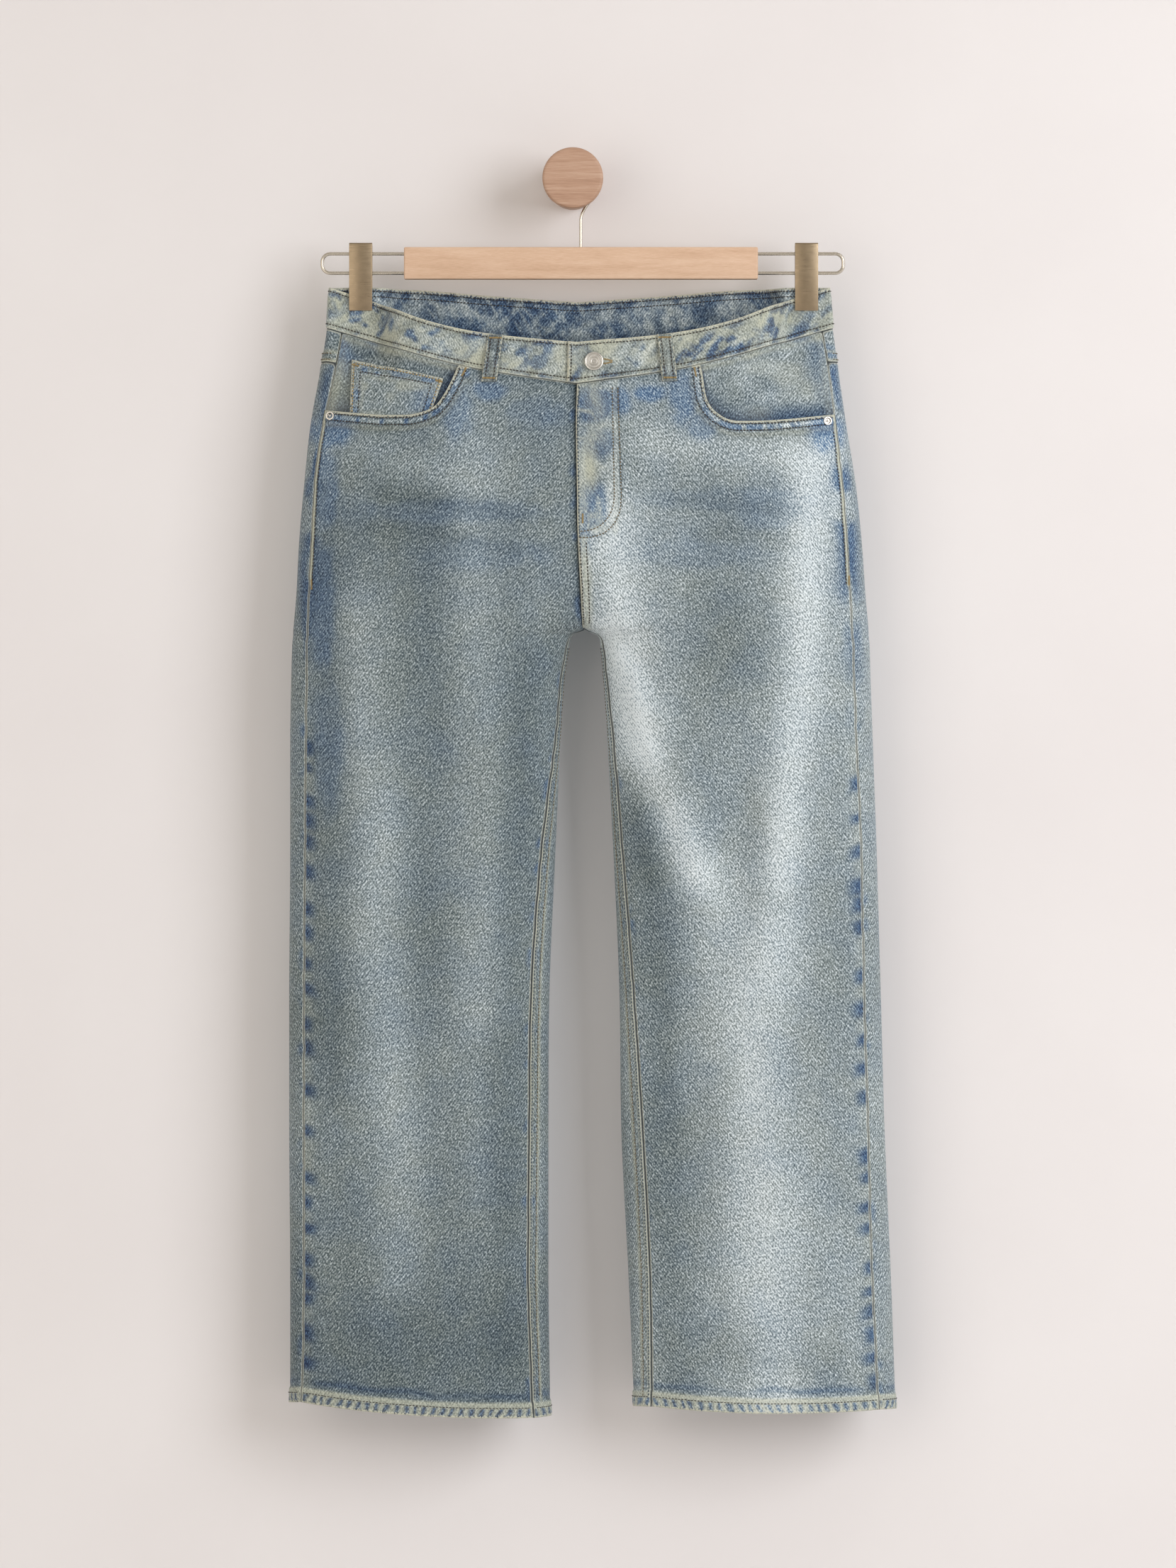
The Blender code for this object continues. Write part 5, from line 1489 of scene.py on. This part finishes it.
beech = woodMaterial("steamed beech, planed and oiled",
                     [(0.3, "#C2A083"), (0.48, "#D0B094"), (0.7, "#DCC0A6")],
                     (130, 900, 1500), (14, 60, 130), 0.55)
oak = woodMaterial("oak, turned and oiled", [(0.28, "#94715A"), (0.5, "#B08E76"), (0.72, "#C2A58F")],
                   (60, 300, 1300), (9, 40, 210), 0.5)


def finish(name, made, material):
    mesh = meshFrom(made, name)
    mesh.shade_smooth()
    mesh.set_sharp_from_angle(angle=math.radians(35))
    return link(name, mesh, material)


# carries what an extrusion added along x
def carry(shape, grown, run):
    corners = [item for item in grown["geom"] if isinstance(item, bmesh.types.BMVert)]
    bmesh.ops.translate(shape, verts=corners, vec=(run, 0, 0))


def easeEdges(shape, edges, offset, segments):
    bmesh.ops.bevel(shape, geom=list(edges), offset=offset, segments=segments, profile=0.5, affect="EDGES",
                    material=-1)


# a profile of (distance outwards, radius) turned about an axis through a seat, in mm
def turnedPiece(name, profile, sides, seat, outward, material):
    spun = bmesh.new()
    ring = [spun.verts.new((radius * mm, 0, along * mm)) for along, radius in profile]
    edges = [spun.edges.new(pair) for pair in zip(ring, ring[1:])]
    bmesh.ops.spin(spun, geom=ring + edges, cent=(0, 0, 0), axis=(0, 0, 1), angle=tau, steps=sides,
                   use_merge=True)
    bmesh.ops.remove_doubles(spun, verts=spun.verts, dist=1e-7)
    outwards(spun)
    turn = Vector((0, 0, 1)).rotation_difference(Vector(outward)).to_matrix().to_4x4()
    bmesh.ops.transform(spun, matrix=Matrix.Translation(Vector(seat) * mm) @ turn, verts=spun.verts)
    return finish(name, spun, material)


# a place on the front and the direction outwards there
def seatAt(side, x, z, offset):
    points, normals = frontPoint(side, np.array([float(x)]), np.array([float(z)]), offset)
    return points[0], normals[0]


buttonSize = {"x": 21.0, "z": -183.5, "offset": 4.1, "profile": [
    (0, 0), (0, 4.4), (1.4, 4.2), (1.6, 8.4), (2.1, 9.1), (2.7, 9.3), (3.3, 9.0), (3.5, 8.3), (3.2, 7.8),
    (2.3, 7.5), (2.2, 7.0), (2.9, 6.5), (3.05, 5.6), (2.9, 4.7), (2.2, 4.3), (2.2, 3.8), (2.8, 3.4),
    (2.95, 2.9), (2.8, 2.4), (2.3, 2.0), (2.3, 1.5), (2.8, 1.1), (2.9, 0)]}
button = turnedPiece("tack_button", buttonSize["profile"], 64,
                     *seatAt(right, buttonSize["x"], buttonSize["z"], buttonSize["offset"]), silverPlate)
rivetSize = {left: (-238, -235), right: (250, -240), "offset": 1.6, "tilt": -0.7, "profile": [
    (-0.9, 0), (-0.9, 4.2), (0.3, 4.4), (0.9, 4.1), (1.05, 3.5), (0.9, 2.9), (0.2, 2.4), (-0.5, 2.1),
    (-0.5, 1.4), (0.6, 1.1), (0.9, 0.7), (1.0, 0)]}
rivets = {}
for side, word in sideWords.items():
    seat, outward = seatAt(side, *rivetSize[side], rivetSize["offset"])
    outward = outward + np.array([0, rivetSize["tilt"], 0])
    rivets[side] = turnedPiece("rivet_cap_" + word, rivetSize["profile"], 40, seat, outward, silverPlate)
print("button and rivets ready")


# a round wire along points in mm, made a mesh
def wirePiece(name, points, radius, material):
    path = bpy.data.curves.new(name, "CURVE")
    path.dimensions = "3D"
    path.bevel_depth = radius * mm
    path.bevel_resolution = 5
    path.use_fill_caps = True
    run = path.splines.new("POLY")
    run.points.add(len(points) - 1)
    for knot, point in zip(run.points, points):
        knot.co = (*(Vector(point) * mm), 1.0)
    curve = addObject(name + "_path", path)
    bpy.context.view_layer.update()
    mesh = bpy.data.meshes.new_from_object(curve.evaluated_get(bpy.context.evaluated_depsgraph_get()))
    bpy.data.objects.remove(curve)
    mesh.materials.clear()
    mesh.shade_smooth()
    mesh.name = name
    return link(name, mesh, material)


hookSize = {"radius": 1.5, "stemX": 7.8, "bendZ": -40.0, "loop": 27.0, "enter": -42.0, "leave": 205.0,
            "corner": (8.4, -31.0)}
barSize = {"x": (-166.6, 182.7), "z": (-99.0, -67.2), "thick": 12.0, "edge": 1.6}
sideWire = {"radius": 1.75, "top": -73.6, "low": -92.7, left: -247.4, right: 267.0, "bend": 8.0}
clipSize = {"width": 22.8, "top": -63.0, "low": -130.0, "gap": 4.2, "metal": 1.2, "bend": 1.5, "rim": 0.35}

first, last = math.radians(hookSize["enter"]), math.radians(hookSize["leave"])
join = (hookSize["loop"] * math.cos(first), hookSize["loop"] * math.sin(first))
stem = (hookSize["stemX"], hookSize["bendZ"])
hookPoints = [(stem[0], form["hangY"], barSize["z"][1] - 1), (stem[0], form["hangY"], -54.0)]
for share in np.linspace(0, 1, 16):
    pull = ((1 - share) ** 2, 2 * share * (1 - share), share ** 2)
    x, z = [pull[0] * stem[i] + pull[1] * hookSize["corner"][i] + pull[2] * join[i] for i in range(2)]
    hookPoints.append((x, form["hangY"], z))
for turn in np.linspace(first, last, 90)[1:]:
    hookPoints.append((hookSize["loop"] * math.cos(turn), form["hangY"], hookSize["loop"] * math.sin(turn)))
hook = wirePiece("hook_wire", hookPoints, hookSize["radius"], nickelWire)

wires = {}
for side, word in sideWords.items():
    start = barSize["x"][0 if side == left else 1] - side * 1.0
    bend, end = sideWire["bend"], sideWire[side]
    points = [(start, form["hangY"], sideWire["top"])]
    for centreZ, begin in ((sideWire["top"] - bend, 90), (sideWire["low"] + bend, 0)):
        for step in range(13):
            turn = math.radians(begin - 90 * step / 12)
            x = end - side * bend + side * bend * math.cos(turn)
            points.append((x, form["hangY"], centreZ + bend * math.sin(turn)))
    points.append((start, form["hangY"], sideWire["low"]))
    wires[side] = wirePiece("side_wire_" + word, points, sideWire["radius"], nickelWire)

# bar: a planed block with eased edges
block = bmesh.new()
bmesh.ops.create_cube(block, size=1)
wide, high = barSize["x"][1] - barSize["x"][0], barSize["z"][1] - barSize["z"][0]
bmesh.ops.scale(block, vec=Vector((wide, barSize["thick"], high)) * mm, verts=block.verts)
bmesh.ops.translate(block, vec=Vector((sum(barSize["x"]) / 2, form["hangY"], sum(barSize["z"]) / 2)) * mm,
                    verts=block.verts)
easeEdges(block, block.edges, barSize["edge"] * mm, 4)
bar = finish("hanger_rail", block, beech)

clips = {}
for side, word in sideWords.items():
    size = clipSize
    gap, metal, bend, top, low = size["gap"], size["metal"], size["bend"], size["top"], size["low"]
    arc = [(math.cos(turn), math.sin(turn)) for turn in np.linspace(0, pi / 2, 7)]
    section = [(-gap - metal, low)]
    section += [(-gap - metal + bend - bend * c, top - bend + bend * s) for c, s in arc]
    section += [(gap + metal - bend + bend * c, top - bend + bend * s) for c, s in reversed(arc)]
    section += [(gap + metal, low), (gap, low), (gap, top - metal - bend), (-gap, top - metal - bend),
                (-gap, low)]
    plate = bmesh.new()
    x = clipX[side] - size["width"] / 2
    ring = [plate.verts.new(Vector((x, form["hangY"] + y, z)) * mm) for y, z in section]
    face = plate.faces.new(ring)
    grown = bmesh.ops.extrude_face_region(plate, geom=[face], use_keep_orig=True)
    carry(plate, grown, size["width"] * mm)
    outwards(plate)
    sharp = [edge for edge in plate.edges if edge.calc_face_angle(0) > math.radians(50)]
    easeEdges(plate, sharp, size["rim"] * mm, 2)
    clips[side] = finish("spring_clip_" + word, plate, bronzeSteel)

# distance from the wall and radius, from the flat back to the rounded face
pegProfile = [(0, 0), (0, 25.2), (66.6, 25.2), (68, 26.6), (68, 27.6), (68.5, 29.0), (69.6, 29.8), (71, 30),
              (81.2, 30), (82.6, 29.6), (83.5, 28.7), (83.9, 27.4), (84, 26), (84, 0)]
peg = turnedPiece("peg_turned", pegProfile, 96, (0, 0, 0), (0, -1, 0), oak)
print("hanger and peg ready")

standsFor = {}
for side, word in sideWords.items():
    standsFor.update({"front_" + word: panels["front", side], "back_" + word: panels["back", side],
                      "yoke_" + word: small["yoke", side], "pocket_facing_" + word: small["facing", side],
                      "back_pocket_" + word: small["backPocket", side], "rivet_" + word: rivets[side],
                      "hanger_wire_" + word: wires[side], "clip_" + word: clips[side]})
standsFor.update({"coin_pocket": coinPocket, "waistband": waistband, "button": button, "hanger_hook": hook,
                  "hanger_bar": bar, "wall_peg": peg, **loops})
for node, piece in standsFor.items():
    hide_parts(node)

slots = {"denim": [*panels.values(), *small.values(), coinPocket, waistband, *loops.values()],
         "button_metal": [button, *rivets.values()], "clip_metal": [*clips.values()],
         "wire_metal": [*wires.values(), hook], "bar_wood": [bar], "peg_wood": [peg]}
for name, pieces in slots.items():
    for piece in pieces:
        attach(piece, "root")
for piece in seams.values():
    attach(piece, "root")

# what each piece was cut to, in metres: width, length and area where it isn't a rectangle
cuts = {"front": (0.30, 1.06, 0.27), "back": (0.38, 1.02, 0.36), "yoke": (0.28, 0.075, 0.016),
        "facing": (0.14, 0.09, 0.0098), "backPocket": (0.155, 0.165, 0.0225)}
for (kind, side), piece in [*panels.items(), *small.items()]:
    wide, long, area = cuts[kind]

# stage: a pale plaster wall behind the peg, curved into a pale floor
stageSize = {"floor": -1.62, "top": 3.2, "half": 7.0, "ahead": -12.0, "cove": 0.22, "wallY": 0.0006}
cove = bmesh.new()
corners = [(stageSize["ahead"], stageSize["floor"]), (stageSize["wallY"], stageSize["floor"]),
           (stageSize["wallY"], stageSize["top"])]
line = [cove.verts.new((-stageSize["half"], y, z)) for y, z in corners]
edges = [cove.edges.new(pair) for pair in zip(line, line[1:])]
grown = bmesh.ops.extrude_edge_only(cove, edges=edges)
carry(cove, grown, 2 * stageSize["half"])
easeEdges(cove, [edge for edge in cove.edges if not edge.is_boundary], stageSize["cove"], 16)
bmesh.ops.recalc_face_normals(cove, faces=cove.faces)
cove.normal_update()
if max(cove.faces, key=lambda face: face.calc_center_median().z).normal.y > 0:
    bmesh.ops.reverse_faces(cove, faces=cove.faces)
wallPaint, tree = newMaterial("matt wall paint, pale warm grey")
place = addNode(tree, "TexCoord")
mottle = addNode(tree, "TexNoise", {"Vector": place.outputs["Object"], "Scale": 2.2, "Detail": 3.0})
paint = addNode(tree, "ValToRGB", {"Fac": mottle.outputs["Fac"]})
setRamp(paint, [(0.3, "#DEDBDA"), (0.7, "#E3E1E0")])
matt = addNode(tree, "BsdfPrincipled", {"Base Color": paint.outputs[0], "Roughness": 0.9,
               "Specular IOR Level": 0.2})
behind = addNode(tree, "NewGeometry")
seeThrough = addNode(tree, "BsdfTransparent")
oneWay = addNode(tree, "MixShader", {0: behind.outputs["Backfacing"], 1: matt.outputs[0],
                 2: seeThrough.outputs[0]})
addNode(tree, "OutputMaterial", {"Surface": oneWay.outputs[0]})
backdrop = finish("studio_wall", cove, wallPaint)
backdrop.visible_shadow = False

# softboxes, all turned to the middle of the jeans: place and size in metres, watts, colour
lights = {"key": ((2.7, -3.0, 0.5), (2.2, 2.4), 91, "#FAFAFF"),
          "fill": ((-2.2, -3.6, -0.2), (2.8, 2.4), 33, "#FFF6EE"),
          "rear": ((0.6, 3.0, 0.6), (2.4, 2.0), 60, "#FFFFFF")}
sky = {"colour": "#F1EAE2", "strength": 0.66}
for name, (place, size, watts, hexColour) in lights.items():
    lamp = bpy.data.lights.new(name, "AREA")
    lamp.shape = "RECTANGLE"
    lamp.size, lamp.size_y = size
    lamp.energy = watts
    lamp.color = linear(hexColour)[:3]
    holder = addObject(name, lamp)
    holder.location = place
    holder.rotation_mode = "QUATERNION"
    holder.rotation_quaternion = (Vector((0.0, 0.0, -0.6)) - Vector(place)).to_track_quat("-Z", "Y")
    holder.visible_camera = False
world = bpy.data.worlds.new("soft studio")
world.use_nodes = True
bpy.context.scene.world = world
background = world.node_tree.nodes["Background"]
background.inputs[0].default_value = linear(sky["colour"])
background.inputs[1].default_value = sky["strength"]
bpy.context.scene.view_settings.view_transform = "Standard"

# camera level with the middle of the photograph, far off, as the peg shows none of its neck: all in metres
shot = {"away": 7.0, "high": 1.548, "x": 0.015, "z": -0.597, "sensor": 36}
lens = bpy.data.cameras.new("camera")
lens.sensor_width = shot["sensor"]
lens.lens = shot["sensor"] * shot["away"] / shot["high"]
camera = addObject("camera", lens)
camera.location = (shot["x"], form["hangY"] * mm - shot["away"], shot["z"])
camera.rotation_euler = (math.radians(90), 0, 0)
bpy.context.scene.camera = camera
print("stage, lights and camera ready")
